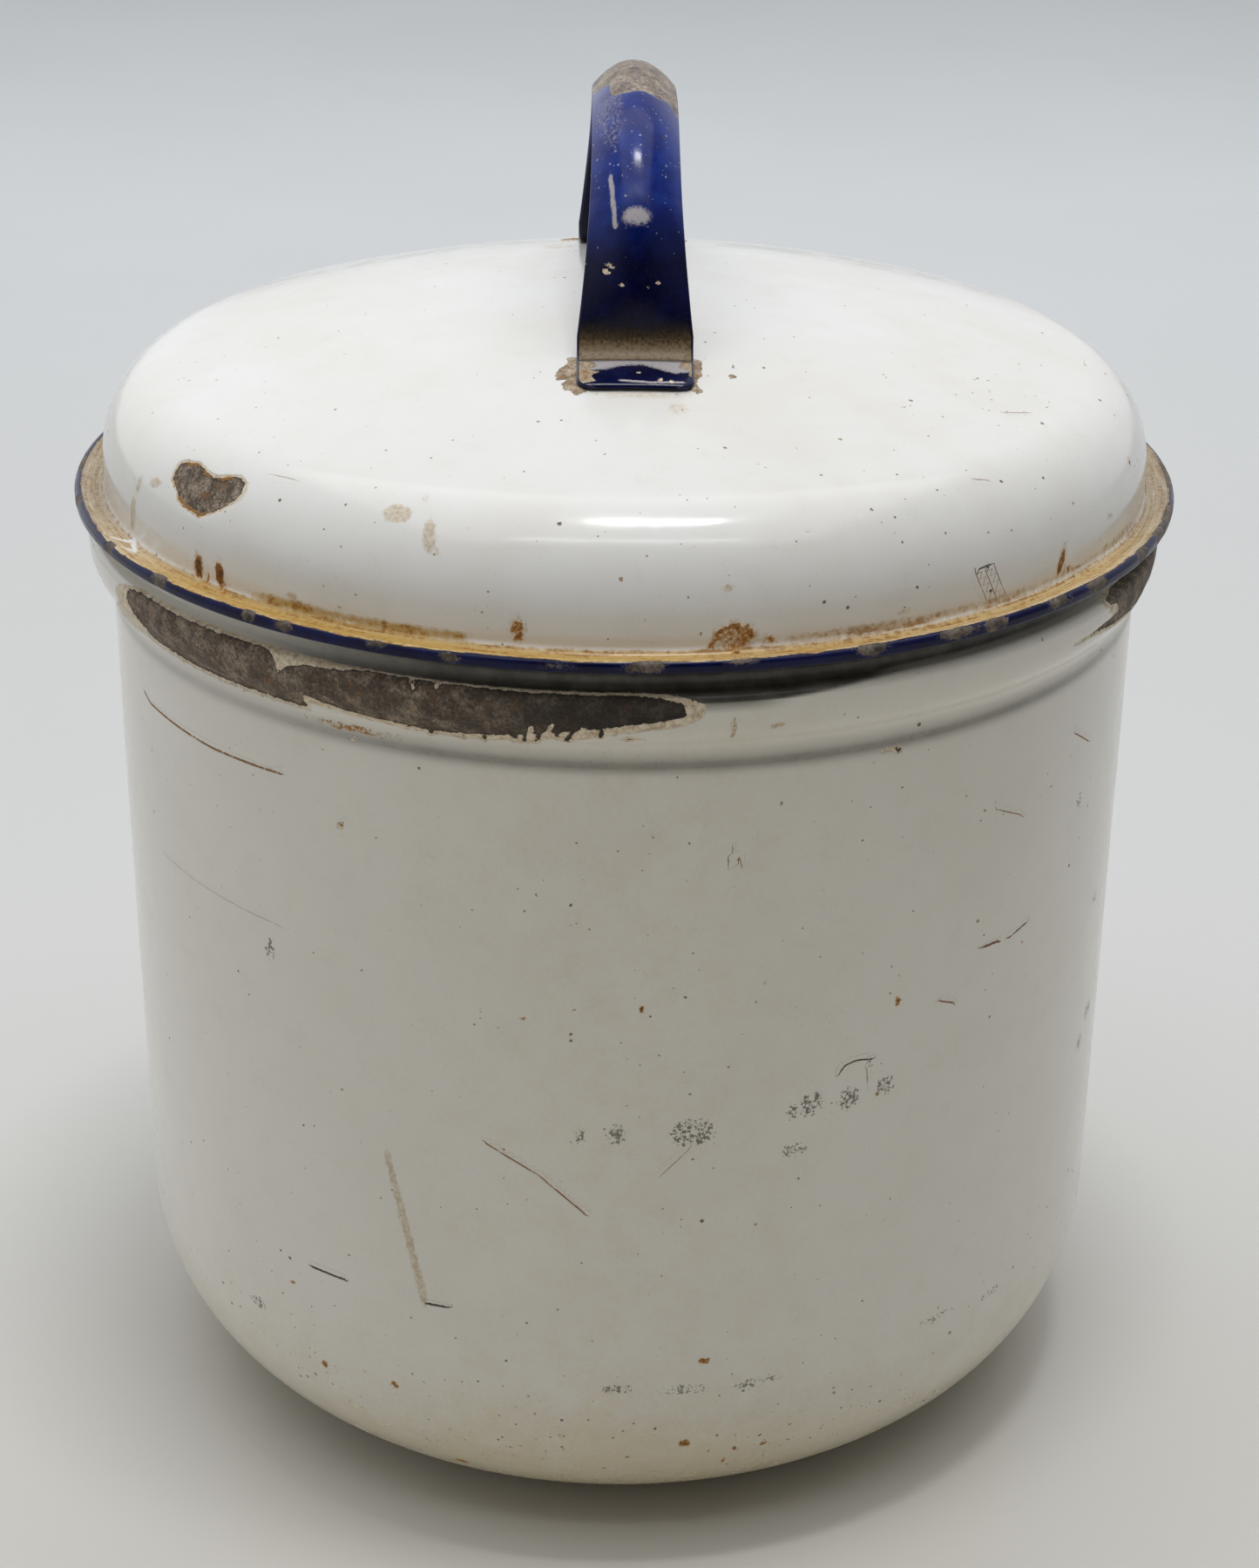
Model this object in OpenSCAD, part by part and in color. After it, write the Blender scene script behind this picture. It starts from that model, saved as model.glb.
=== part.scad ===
// Round enamelled steel jar with a loose domed lid and a strap handle.
// Millimetres, +Z up. The origin is the centre of the base, on the surface the jar stands on.
// The handle runs front to back, along Y.

/* [Pot] */
// Outside diameter of the straight wall
pot_d = 233; // [180:1:300]
// Height of the mouth above the base
pot_h = 219; // [140:1:320]
// Thickness of the enamelled sheet
pot_wall = 1.1; // [0.8:0.1:2]
// Outside radius of the rounded corner between wall and base
base_corner_r = 45; // [12:1:55]
// Width of the flat ring that the pot stands on
foot_ring_w = 8; // [4:1:12]
// How far the middle of the base is pressed up
base_recess = 1.2; // [0.6:0.1:3]

/* [Collar] */
// How far the collar stands out from the straight wall
collar_step = 4.7; // [2:0.1:8]
// How far below the mouth the collar's upright band starts
collar_band_h = 10; // [9:0.5:25]
// Radius of the shoulder's outer bend
shoulder_r = 10; // [6:0.5:14]
// Radius of the bend where the shoulder meets the straight wall
shoulder_foot_r = 4; // [2:0.5:8]

/* [Neck] */
// How far the neck lies inside the collar
neck_step = 4; // [3.4:0.1:5]
// Depth of the neck, from the top of the collar to the mouth
neck_h = 6; // [5.6:0.1:8]
// Radius of the bend that closes the collar at its top
collar_top_r = 2; // [1.2:0.1:2]
// Radius of the bends at the foot and at the top of the neck
neck_bend_r = 1.2; // [0.8:0.1:1.4]
// Slope of the flared lip that the neck ends in, in degrees
lip_rise = 30; // [28:1:34]

/* [Lid] */
// Thickness of the enamelled sheet
lid_wall = 0.9; // [0.6:0.1:1.1]
// Radial play between the collar and the inside of the lid's turned-down rim
rim_play = 1.4; // [0.8:0.1:3]
// Height of the turned-down rim
rim_h = 2.6; // [2.4:0.1:5]
// Radius of the bend between flange and rim
rim_bend_r = 1.2; // [1.2:0.1:1.6]
// Width of the flange, from the upright wall to the rim
flange_w = 6.7; // [6.2:0.1:12]
// Radius of the gutter at the foot of the upright wall
gutter_r = 1.8; // [1.2:0.1:2.4]
// How far the gutter lies below the top of the rim
gutter_depth = 1.2; // [0.8:0.1:2]
// Height of the lid's upright wall above its gutter
lid_wall_h = 7.8; // [4:0.2:30]
// Radius of the bend between the upright wall and the crown
knuckle_r = 20; // [8:0.5:30]
// Radius of the crown's sphere
crown_r = 355; // [250:1:900]
// Gap left between the flange and the mouth that carries it
seat_gap = 0.3; // [0.1:0.05:0.5]

/* [Handle] */
// Distance between the outsides of the two legs, just above their feet
handle_span = 101; // [85:1:120]
// Height of the arch above the crown's highest point
handle_rise = 47; // [38:1:70]
// Thickness of the enamelled strap
strap_t = 1.2; // [0.9:0.1:1.8]
// Width of the strap at the top of the arch
strap_w_top = 18.2; // [14:0.2:24]
// Width of the strap at its feet
strap_w_foot = 24; // [18:0.5:34]
// How far the strap's middle stands above its edges, at the top of the arch
strap_bow = 5.2; // [2:0.2:7]
// Radius of the bend between a leg and its foot, on the outside
foot_bend_r = 4; // [2.5:0.5:8]
// Length of a foot's flat tab, past the bend
tab_l = 11; // [9:0.5:16]
// How far the handle sits off the jar's centre line, to the right
handle_offset = 1.2; // [0:0.2:6]
// Squareness of the arch: 2 is an ellipse, more is squarer
arch_power = 2.3; // [2:0.1:3.2]
// Diameter of a spot weld
weld_d = 4.5; // [3:0.5:6]
// Distance between the two spot welds of a foot
weld_pitch = 11; // [8:1:14]
// Gap under a foot, which the spot welds bridge
foot_gap = 0.25; // [0.15:0.05:0.4]

/* [Hidden] */
$fn = 180;

arc_step = 5;      // most degrees between two points of a small bend
crown_step = 1.5;  // most degrees between two points of the crown

// ---- pot ----
pot_r = pot_d / 2;
collar_r = pot_r + collar_step;
foot_r = pot_r - base_corner_r;               // outer edge of the flat ring
recess_slope_w = 3;                           // width of the slope up to the recess
recess_r = foot_r - foot_ring_w - recess_slope_w;
shoulder_turn = acos(1 - collar_step / (shoulder_r + shoulder_foot_r));
shoulder_top_z = pot_h - collar_band_h;
shoulder_foot_z = shoulder_top_z - (shoulder_r + shoulder_foot_r) * sin(shoulder_turn);
mouth_mid = [collar_r - pot_wall / 2, pot_h - pot_wall / 2];  // centre of the mouth's rounded edge
collar_top_z = pot_h - neck_h;
neck_bend_x = collar_r - neck_step + neck_bend_r;             // centre line of both bends of the neck
// The lip's middle line runs from the neck's upper bend up to mouth_mid.
neck_mid_r = neck_bend_r + pot_wall / 2;
neck_top_z = mouth_mid.y - (mouth_mid.x - neck_bend_x + neck_mid_r * sin(lip_rise)) * tan(lip_rise)
    - neck_mid_r * cos(lip_rise);                             // centre of the neck's upper bend

// ---- lid ----
rim_r = collar_r + rim_play + lid_wall;       // outside of the turned-down rim
dome_r = rim_r - flange_w;                    // outside of the upright wall
bend_x = rim_r - rim_bend_r;                  // centre line of the bend between flange and rim
gutter_x = dome_r + gutter_r;                 // centre line of the gutter
bend_over_gutter = gutter_depth - gutter_r - rim_bend_r;
flange_rise = atan2(bend_over_gutter, bend_x - gutter_x)
    + asin((gutter_r + rim_bend_r) / norm([bend_x - gutter_x, bend_over_gutter]));
// The flange's underside clears the mouth's rounded edge by seat_gap.
seat_depth = pot_wall / 2 + seat_gap + lid_wall;
bend_z = mouth_mid.y + (seat_depth - rim_bend_r + (bend_x - mouth_mid.x) * sin(flange_rise)) / cos(flange_rise);
gutter_z = bend_z - bend_over_gutter;
rim_top_z = bend_z + rim_bend_r;
knuckle_x = dome_r - knuckle_r;
knuckle_z = gutter_z - gutter_r + lid_wall_h;
crown_turn = asin(knuckle_x / (crown_r - knuckle_r));
crown_z = knuckle_z - (crown_r - knuckle_r) * cos(crown_turn);  // centre of the crown's sphere
lid_top_z = crown_z + crown_r;

// ---- handle ----
arch_top_z = lid_top_z + handle_rise;
leg_y = handle_span / 2;
seat_r = crown_r + foot_gap;                  // sphere that the underside of the feet lies on
tab_top_r = seat_r + strap_t;
// The bend's centre lies outside the leg, foot_bend_r above the top of the tab.
bend_y = leg_y + foot_bend_r;
foot_bend_z = crown_z + sqrt(pow(tab_top_r + foot_bend_r, 2) - pow(bend_y, 2));
tab_start = asin(bend_y / (tab_top_r + foot_bend_r));  // slope of the crown where the tab starts
tab_end = tab_start + tab_l / tab_top_r * 180 / PI;
weld_at = (tab_start + tab_end) / 2;
arch_h = arch_top_z - foot_bend_z;
arch_steps = 30;
bend_steps = 6;
tab_steps = 3;
strap_steps = 8;   // spans across the strap's width

// Points along an arc about c, from angle a0 to a1, no more than step degrees apart.
function arc(c, r, a0, a1, step = arc_step) =
    let (n = max(1, ceil(abs(a1 - a0) / step)))
    [for (i = [0:n]) let (a = a0 + (a1 - a0) * i / n) [c.x + r * cos(a), c.y + r * sin(a)]];

function reversed(list) = [for (i = [len(list) - 1:-1:0]) list[i]];

// The pot's surface from the axis up to the mouth, k inside its outer face.
function pot_face(k) = concat(
    [[0, base_recess + k], [recess_r, base_recess + k], [recess_r + recess_slope_w, k]],
    arc([foot_r, base_corner_r], base_corner_r - k, -90, 0),
    arc([pot_r + shoulder_foot_r, shoulder_foot_z], shoulder_foot_r + k, 180, 180 - shoulder_turn),
    arc([collar_r - shoulder_r, shoulder_top_z], shoulder_r - k, -shoulder_turn, 0),
    arc([collar_r - collar_top_r, collar_top_z - collar_top_r], collar_top_r - k, 0, 90, arc_step * 3),
    arc([neck_bend_x, collar_top_z + neck_bend_r], neck_bend_r + k, 270, 180, arc_step * 3),
    arc([neck_bend_x, neck_top_z], neck_bend_r + k, 180, 90 + lip_rise, arc_step * 3)
);

module pot_shell() color("whitesmoke")
    rotate_extrude()
        polygon(concat(
            pot_face(0),
            arc(mouth_mid, pot_wall / 2, lip_rise - 90, lip_rise + 90, arc_step * 3),
            reversed(pot_face(pot_wall))
        ));

// The lid's surface from the axis out to the end of the sloping flange, k inside its outer face.
function lid_face(k) = concat(
    arc([0, crown_z], crown_r - k, 90, 90 - crown_turn, crown_step),
    arc([knuckle_x, knuckle_z], knuckle_r - k, 90 - crown_turn, 0),
    arc([gutter_x, gutter_z], gutter_r + k, 180, 270 + flange_rise)
);

// The turned-down rim's surface, k inside its outer face.
function rim_face(k) = concat(
    arc([bend_x, bend_z], rim_bend_r - k, 90 + flange_rise, 0, arc_step * 3),
    [[rim_r - k, rim_top_z - rim_h + lid_wall / 2]]
);

module lid_shell() color("whitesmoke")
    rotate_extrude()
        polygon(concat(lid_face(0), [rim_face(0)[0], rim_face(lid_wall)[0]], reversed(lid_face(lid_wall))));

module lid_rim() color("midnightblue")
    rotate_extrude()
        polygon(concat(
            rim_face(0),
            arc([rim_r - lid_wall / 2, rim_top_z - rim_h + lid_wall / 2], lid_wall / 2, 0, -180, arc_step * 6),
            reversed(rim_face(lid_wall))
        ));

// One station of the strap: [y, z, direction of its outward face, share of the way up the leg].
function arch_station(t) =
    let (c = cos(t), s = sin(t), p = 2 / arch_power,
         y = -leg_y * sign(c) * pow(abs(c), p), z = foot_bend_z + arch_h * pow(s, p),
         // The outward normal of the superellipse.
         ny = -sign(c) * pow(abs(c), 2 - p) / leg_y, nz = pow(s, 2 - p) / arch_h)
    [y, z, atan2(nz, ny), pow(s, p)];

function arch_stations() = [for (i = [1:arch_steps - 1]) arch_station(180 * i / arch_steps)];

// The front foot, from the tip of its tab to the foot of the leg.
function front_foot_stations() = concat(
    [for (i = [0:tab_steps]) let (a = tab_end + (tab_start - tab_end) * i / tab_steps)
        [-tab_top_r * sin(a), crown_z + tab_top_r * cos(a), 90 + a, 0]],
    [for (i = [1:bend_steps]) let (a = (90 - tab_start) * i / bend_steps)
        [-bend_y + foot_bend_r * sin(tab_start + a), foot_bend_z - foot_bend_r * cos(tab_start + a),
         90 + tab_start + a, 0]]
);

function rear_of(stations) = [for (s = reversed(stations)) [-s.x, s.y, 180 - s.z, s[3]]];

function strap_stations() = concat(front_foot_stations(), arch_stations(), rear_of(front_foot_stations()));

// The points of one cross-section, along the outer face and back along the inner one.
function strap_section(st) =
    let (w = strap_w_top + (strap_w_foot - strap_w_top) * pow(1 - st[3], 2),
         crown_bow = pow(w / 2, 2) / (2 * crown_r),
         bow = crown_bow + (strap_bow - crown_bow) * min(1, 1.6 * st[3]) ,
         out = [cos(st.z), sin(st.z)])
    [for (side = [0, 1]) for (i = [0:strap_steps])
        let (share = side == 0 ? -1 + 2 * i / strap_steps : 1 - 2 * i / strap_steps,
             d = -bow * share * share - side * strap_t)
        [w / 2 * share, st.x + d * out.x, st.y + d * out.y]];

module strap(stations) {
    ring = 2 * (strap_steps + 1);
    last = len(stations) - 1;
    points = [for (st = stations) each strap_section(st)];
    sides = [for (s = [0:last - 1]) for (i = [0:ring - 1])
        let (j = (i + 1) % ring) [s * ring + i, s * ring + j, (s + 1) * ring + j, (s + 1) * ring + i]];
    start_cap = [for (i = [ring - 1:-1:0]) i];
    end_cap = [for (i = [0:ring - 1]) last * ring + i];
    polyhedron(points, concat([start_cap], sides, [end_cap]), convexity = 6);
}

// Swings what is fixed on the crown sideways about the crown's centre, to where the handle sits.
module over_crown()
    translate([0, 0, crown_z])
        rotate([0, handle_offset / crown_r * 180 / PI, 0])
            children();

module lid_handle() color("midnightblue")
    over_crown()
        translate([0, 0, -crown_z])
            strap(strap_stations());

// A spot weld bridges the gap under a foot and bites into both sheets.
module spot_weld() {
    bite = 0.3;
    translate([0, 0, crown_r - bite])
        cylinder(d = weld_d, h = foot_gap + 2 * bite, $fn = 32);
}

module spot_welds() color("dimgray")
    over_crown()
        for (end = [-1, 1])
            for (side = [-1, 1])
                rotate([-end * weld_at, 0, 0])
                    translate([side * weld_pitch / 2, 0, 0])
                        spot_weld();

pot_shell();
lid_shell();
lid_rim();
lid_handle();
spot_welds();
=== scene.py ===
# %% [markdown]
# # An old enamelled steel jar
# This lesson dresses a jar that a CAD model has already sized. The real jar is pressed from thin steel
# sheet, dipped in glass enamel and fired: white all over, cobalt blue on the lid's rim and its handle.
# Long use has chipped the glass down to the steel, and rust has crept out of the lid's gutter.
# Most pieces are bodies of revolution, so one function spins a meridian into a mesh. The damage is
# painted onto that mesh as distances in millimetres, which both the shape and the material read.

# %% Load the frame
import math
import bpy
import numpy as np
from mathutils import Matrix, Vector


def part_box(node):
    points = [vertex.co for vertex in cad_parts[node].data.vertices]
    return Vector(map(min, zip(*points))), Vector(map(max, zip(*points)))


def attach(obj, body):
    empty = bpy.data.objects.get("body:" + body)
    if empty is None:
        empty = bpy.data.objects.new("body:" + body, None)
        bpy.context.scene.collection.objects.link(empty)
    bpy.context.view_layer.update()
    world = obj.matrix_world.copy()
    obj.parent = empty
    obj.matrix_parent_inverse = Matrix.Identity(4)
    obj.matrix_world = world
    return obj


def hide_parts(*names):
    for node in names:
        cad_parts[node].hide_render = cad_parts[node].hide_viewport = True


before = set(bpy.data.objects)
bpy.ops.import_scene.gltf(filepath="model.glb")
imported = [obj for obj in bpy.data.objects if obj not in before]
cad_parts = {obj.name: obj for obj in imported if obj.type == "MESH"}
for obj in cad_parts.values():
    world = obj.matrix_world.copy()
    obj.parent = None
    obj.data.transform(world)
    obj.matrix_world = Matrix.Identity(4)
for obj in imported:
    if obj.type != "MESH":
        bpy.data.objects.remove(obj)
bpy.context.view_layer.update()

# %% [markdown]
# ## Measures
# All sizes are in millimetres and turn into metres only when a mesh is made. The outer sizes come from
# the frame's boxes. The bends aren't in a box, so they are named here, as a die maker would name them.

# %% Measures
MM = 0.001
pot_low, pot_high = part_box("pot_shell")
rim_low, rim_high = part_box("lid_rim")
shell_low, shell_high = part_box("lid_shell")
handle_low, handle_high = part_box("lid_handle")

collar_r = pot_high.x / MM
mouth_z = pot_high.z / MM
rim_r = rim_high.x / MM
rim_top = rim_high.z / MM
rim_foot = rim_low.z / MM
lid_top = shell_high.z / MM
arch_top = handle_high.z / MM

wall_r = collar_r - 4.7
pot_sheet = 1.1
base_corner = 45.0
foot_ring = 8.0
base_recess = 1.2
shoulder_bend = 10.0
shoulder_foot_bend = 4.0
collar_band = 10.0
neck_step = 4.0
neck_height = 6.0
collar_top_bend = 2.0
neck_bend = 1.2
lip_rise = 30.0

lid_sheet = 0.9
dome_r = rim_r - 6.7
gutter_bend = 1.8
rim_bend = 1.2
knuckle_bend = 20.0
crown_bend = 355.0
print("collar", round(collar_r, 2), "mouth", round(mouth_z, 2), "rim", round(rim_r, 2),
      "crown", round(lid_top, 2), "arch", round(arch_top, 2))

# %% [markdown]
# ## Meridians
# A pressing's outline is straight runs and round bends, so a meridian is a chain of lines and arcs, each
# cut into steps of its own. Tight bends and damaged bands get short steps and hidden faces get long ones.
# The chain runs anticlockwise round the sheet's section, which puts the outside on its right hand.

# %% Lines and arcs
def line(start, end, step):
    """Points from start to end, no more than step apart."""
    start, end = np.array(start, float), np.array(end, float)
    count = max(1, math.ceil(np.linalg.norm(end - start) / step))
    return [start + (end - start) * i / count for i in range(count + 1)]


def arc(centre, radius, first, last, step):
    """Points on an arc from angle first to angle last, in degrees, no more than step apart."""
    sweep = math.radians(last - first)
    count = max(2, math.ceil(abs(sweep) * radius / step))
    angles = [math.radians(first) + sweep * i / count for i in range(count + 1)]
    return [np.array([centre[0] + radius * math.cos(a), centre[1] + radius * math.sin(a)]) for a in angles]


def chain(*runs):
    """One list of points from several runs, with no point twice."""
    points = [runs[0][0]]
    for run in runs:
        points += [p for p in run if np.linalg.norm(p - points[-1]) > 0.02]
    return np.array(points)


# %% The pot's meridian
foot_r = wall_r - base_corner
recess_r = foot_r - foot_ring - 3.0
turn = math.degrees(math.acos(1 - (collar_r - wall_r) / (shoulder_bend + shoulder_foot_bend)))
shoulder_z = mouth_z - collar_band
shoulder_foot_z = shoulder_z - (shoulder_bend + shoulder_foot_bend) * math.sin(math.radians(turn))
collar_top_z = mouth_z - neck_height
mouth_mid = (collar_r - pot_sheet / 2, mouth_z - pot_sheet / 2)
neck_x = collar_r - neck_step + neck_bend
neck_mid = neck_bend + pot_sheet / 2
lip_run = mouth_mid[0] - neck_x + neck_mid * math.sin(math.radians(lip_rise))
neck_top_z = (mouth_mid[1] - lip_run * math.tan(math.radians(lip_rise))
              - neck_mid * math.cos(math.radians(lip_rise)))


def pot_face(inset, step):
    """The pot's face from the middle of the base up to the mouth, inset from the outer one."""
    return chain(
        line((0, base_recess + inset), (recess_r, base_recess + inset), step * 4),
        line((recess_r, base_recess + inset), (recess_r + 3.0, inset), step),
        line((recess_r + 3.0, inset), (foot_r, inset), step * 2),
        arc((foot_r, base_corner), base_corner - inset, -90, 0, step),
        line((wall_r - inset, base_corner), (wall_r - inset, shoulder_foot_z), step),
        arc((wall_r + shoulder_foot_bend, shoulder_foot_z), shoulder_foot_bend + inset,
            180, 180 - turn, step / 2),
        arc((collar_r - shoulder_bend, shoulder_z), shoulder_bend - inset, -turn, 0, step * 0.8),
        arc((collar_r - collar_top_bend, collar_top_z - collar_top_bend), collar_top_bend - inset,
            0, 90, step / 2),
        arc((neck_x, collar_top_z + neck_bend), neck_bend + inset, 270, 180, step / 2),
        arc((neck_x, neck_top_z), neck_bend + inset, 180, 90 + lip_rise, step / 2),
    )


pot_outside = pot_face(0, 0.9)
mouth_edge = arc(mouth_mid, pot_sheet / 2, lip_rise - 90, lip_rise + 90, 0.25)
pot_meridian = chain(list(pot_outside), mouth_edge, list(pot_face(pot_sheet, 3.5)[::-1]))
print("pot meridian:", len(pot_meridian), "points,", len(pot_outside), "of them outside")

# %% The lid's meridian
bend_z = rim_top - rim_bend
gutter_x = dome_r + gutter_bend
gutter_depth = 1.2
bend_x = rim_r - rim_bend
bend_over_gutter = gutter_depth - gutter_bend - rim_bend
flange_rise = math.degrees(
    math.atan2(bend_over_gutter, bend_x - gutter_x)
    + math.asin((gutter_bend + rim_bend) / math.hypot(bend_x - gutter_x, bend_over_gutter)))
gutter_z = bend_z - bend_over_gutter
knuckle_x = dome_r - knuckle_bend
crown_turn = math.degrees(math.asin(knuckle_x / (crown_bend - knuckle_bend)))
crown_z = lid_top - crown_bend
knuckle_z = crown_z + (crown_bend - knuckle_bend) * math.cos(math.radians(crown_turn))


def lid_face(inset, step):
    """The lid's face from the middle of the crown out to the end of the flange."""
    return chain(
        arc((0, crown_z), crown_bend - inset, 90, 90 - crown_turn, step),
        arc((knuckle_x, knuckle_z), knuckle_bend - inset, 90 - crown_turn, 0, step * 0.7),
        line((dome_r - inset, knuckle_z), (dome_r - inset, gutter_z), step * 0.7),
        arc((gutter_x, gutter_z), gutter_bend + inset, 180, 270 + flange_rise, step / 3),
        [rim_face(inset, step)[0]],
    )


def rim_face(inset, step):
    """The rim's face from the end of the flange down to its lower edge."""
    return chain(
        arc((bend_x, bend_z), rim_bend - inset, 90 + flange_rise, 0, step / 4),
        line((rim_r - inset, bend_z), (rim_r - inset, rim_foot + lid_sheet / 2), step / 2),
    )


lid_outside = lid_face(0, 0.85)
lid_meridian = chain(list(lid_face(lid_sheet, 3.0)), list(lid_outside[::-1]))
rim_outside = rim_face(0, 0.85)
rim_edge = arc((rim_r - lid_sheet / 2, rim_foot + lid_sheet / 2), lid_sheet / 2, 180, 360, 0.25)
rim_meridian = chain(list(rim_face(lid_sheet, 1.5)), rim_edge, list(rim_outside[::-1]))
print("lid meridian:", len(lid_meridian), "points; rim meridian:", len(rim_meridian),
      "points; flange rises", round(flange_rise, 1), "degrees")

# %% [markdown]
# ## Spinning
# Blender's Spin and Screw tools make such a body too, but here each vertex has to know where it lies on
# the sheet: its angle round the jar and how far it is along the meridian. A small class keeps those
# numbers beside the points, and the damage is worked out from them with plain array arithmetic.

# %% A spun skin
COLUMNS = 800


class Skin:
    """The points of a body of revolution, with each point's place on the sheet."""

    def __init__(self, meridian, columns=COLUMNS):
        self.poled = meridian[0][0] < 0.01
        steps = np.linalg.norm(np.diff(meridian, axis=0), axis=1)
        along = np.concatenate([[0], np.cumsum(steps)])
        tangent = np.gradient(meridian, along, axis=0)
        tangent /= np.linalg.norm(tangent, axis=1)[:, None]
        degrees = np.arange(columns) * 360 / columns - 180
        self.rows, self.columns = len(meridian), columns
        self.degrees = np.tile(degrees, self.rows)
        self.radius = np.repeat(meridian[:, 0], columns)
        self.height = np.repeat(meridian[:, 1], columns)
        self.along = np.repeat(along, columns)
        self.out_r = np.repeat(tangent[:, 1], columns)
        self.out_z = np.repeat(-tangent[:, 0], columns)
        self.layers = {}

    def points(self, raised=0.0):
        """Where the points are, in millimetres, once they are raised off the sheet."""
        radius = self.radius + self.out_r * raised
        height = self.height + self.out_z * raised
        turned = np.radians(self.degrees)
        return np.stack([radius * np.sin(turned), -radius * np.cos(turned), height], 1)

    def faces(self):
        """Quads between the rings, closed into a tube or capped by triangles at the poles."""
        ring = np.arange(self.columns)
        following = (ring + 1) % self.columns
        first, last = (1, self.rows - 1) if self.poled else (0, self.rows)
        quads = []
        for row in range(first, last if not self.poled else last - 1):
            below, above = row * self.columns, ((row + 1) % self.rows) * self.columns
            quads.append(np.stack([below + ring, below + following, above + following, above + ring], 1))
        return np.concatenate(quads)


def build(name, skin, raised=0.0):
    """A mesh object from a skin, smooth, with the skin's layers as attributes."""
    points = skin.points(raised)
    quads = skin.faces()
    if not skin.poled:
        keep = np.arange(len(points))
        caps = []
    else:
        # The first and last rings lie on the axis, so each shrinks to its one pole.
        inner = np.arange(skin.columns, len(points) - skin.columns)
        keep = np.concatenate([[0], inner, [len(points) - 1]])
        ring = np.arange(skin.columns)
        following = (ring + 1) % skin.columns
        top = len(keep) - 1 - skin.columns
        caps = [np.stack([np.zeros_like(ring), 1 + following, 1 + ring], 1),
                np.stack([np.full_like(ring, len(keep) - 1), top + ring, top + following], 1)]
        quads = quads - skin.columns + 1
    return make_mesh(name, points[keep], [quads] + caps, {k: v[keep] for k, v in skin.layers.items()})


# %% From arrays to a mesh
def make_mesh(name, points, face_groups, layers):
    """A smooth mesh object from points in millimetres and groups of faces of one size each."""
    mesh = bpy.data.meshes.new(name)
    loops = np.concatenate([group.ravel() for group in face_groups if len(group)])
    sizes = np.concatenate([np.full(len(group), group.shape[1]) for group in face_groups if len(group)])
    starts = np.concatenate([[0], np.cumsum(sizes)[:-1]])
    mesh.vertices.add(len(points))
    mesh.vertices.foreach_set("co", (points * MM).ravel())
    mesh.loops.add(len(loops))
    mesh.loops.foreach_set("vertex_index", loops.astype(np.int32))
    mesh.polygons.add(len(sizes))
    mesh.polygons.foreach_set("loop_start", starts.astype(np.int32))
    mesh.update(calc_edges=True)
    mesh.validate()
    mesh.polygons.foreach_set("use_smooth", np.ones(len(mesh.polygons), bool))
    for layer, values in layers.items():
        mesh.attributes.new(layer, "FLOAT", "POINT").data.foreach_set("value", values.astype(np.float32))
    piece = bpy.data.objects.new(name, mesh)
    bpy.context.collection.objects.link(piece)
    print(name + ":", len(points), "points,", len(sizes), "faces")
    return piece


# %% [markdown]
# ## Marks on a sheet
# A mark is a signed distance in millimetres: positive inside, negative outside. Marks join with maximum,
# cut each other with minimum, and grow when a number is added. A material that adds fine noise to such a
# distance before it cuts it at zero gets an edge as crisp as the render, however coarse the mesh is.

# %% Ovals, outlines and strokes
FAR = -12.0
HIDDEN = 1000.0
SCRATCH_REACH = 1.5
NO_SCRATCH = 40.0


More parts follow.
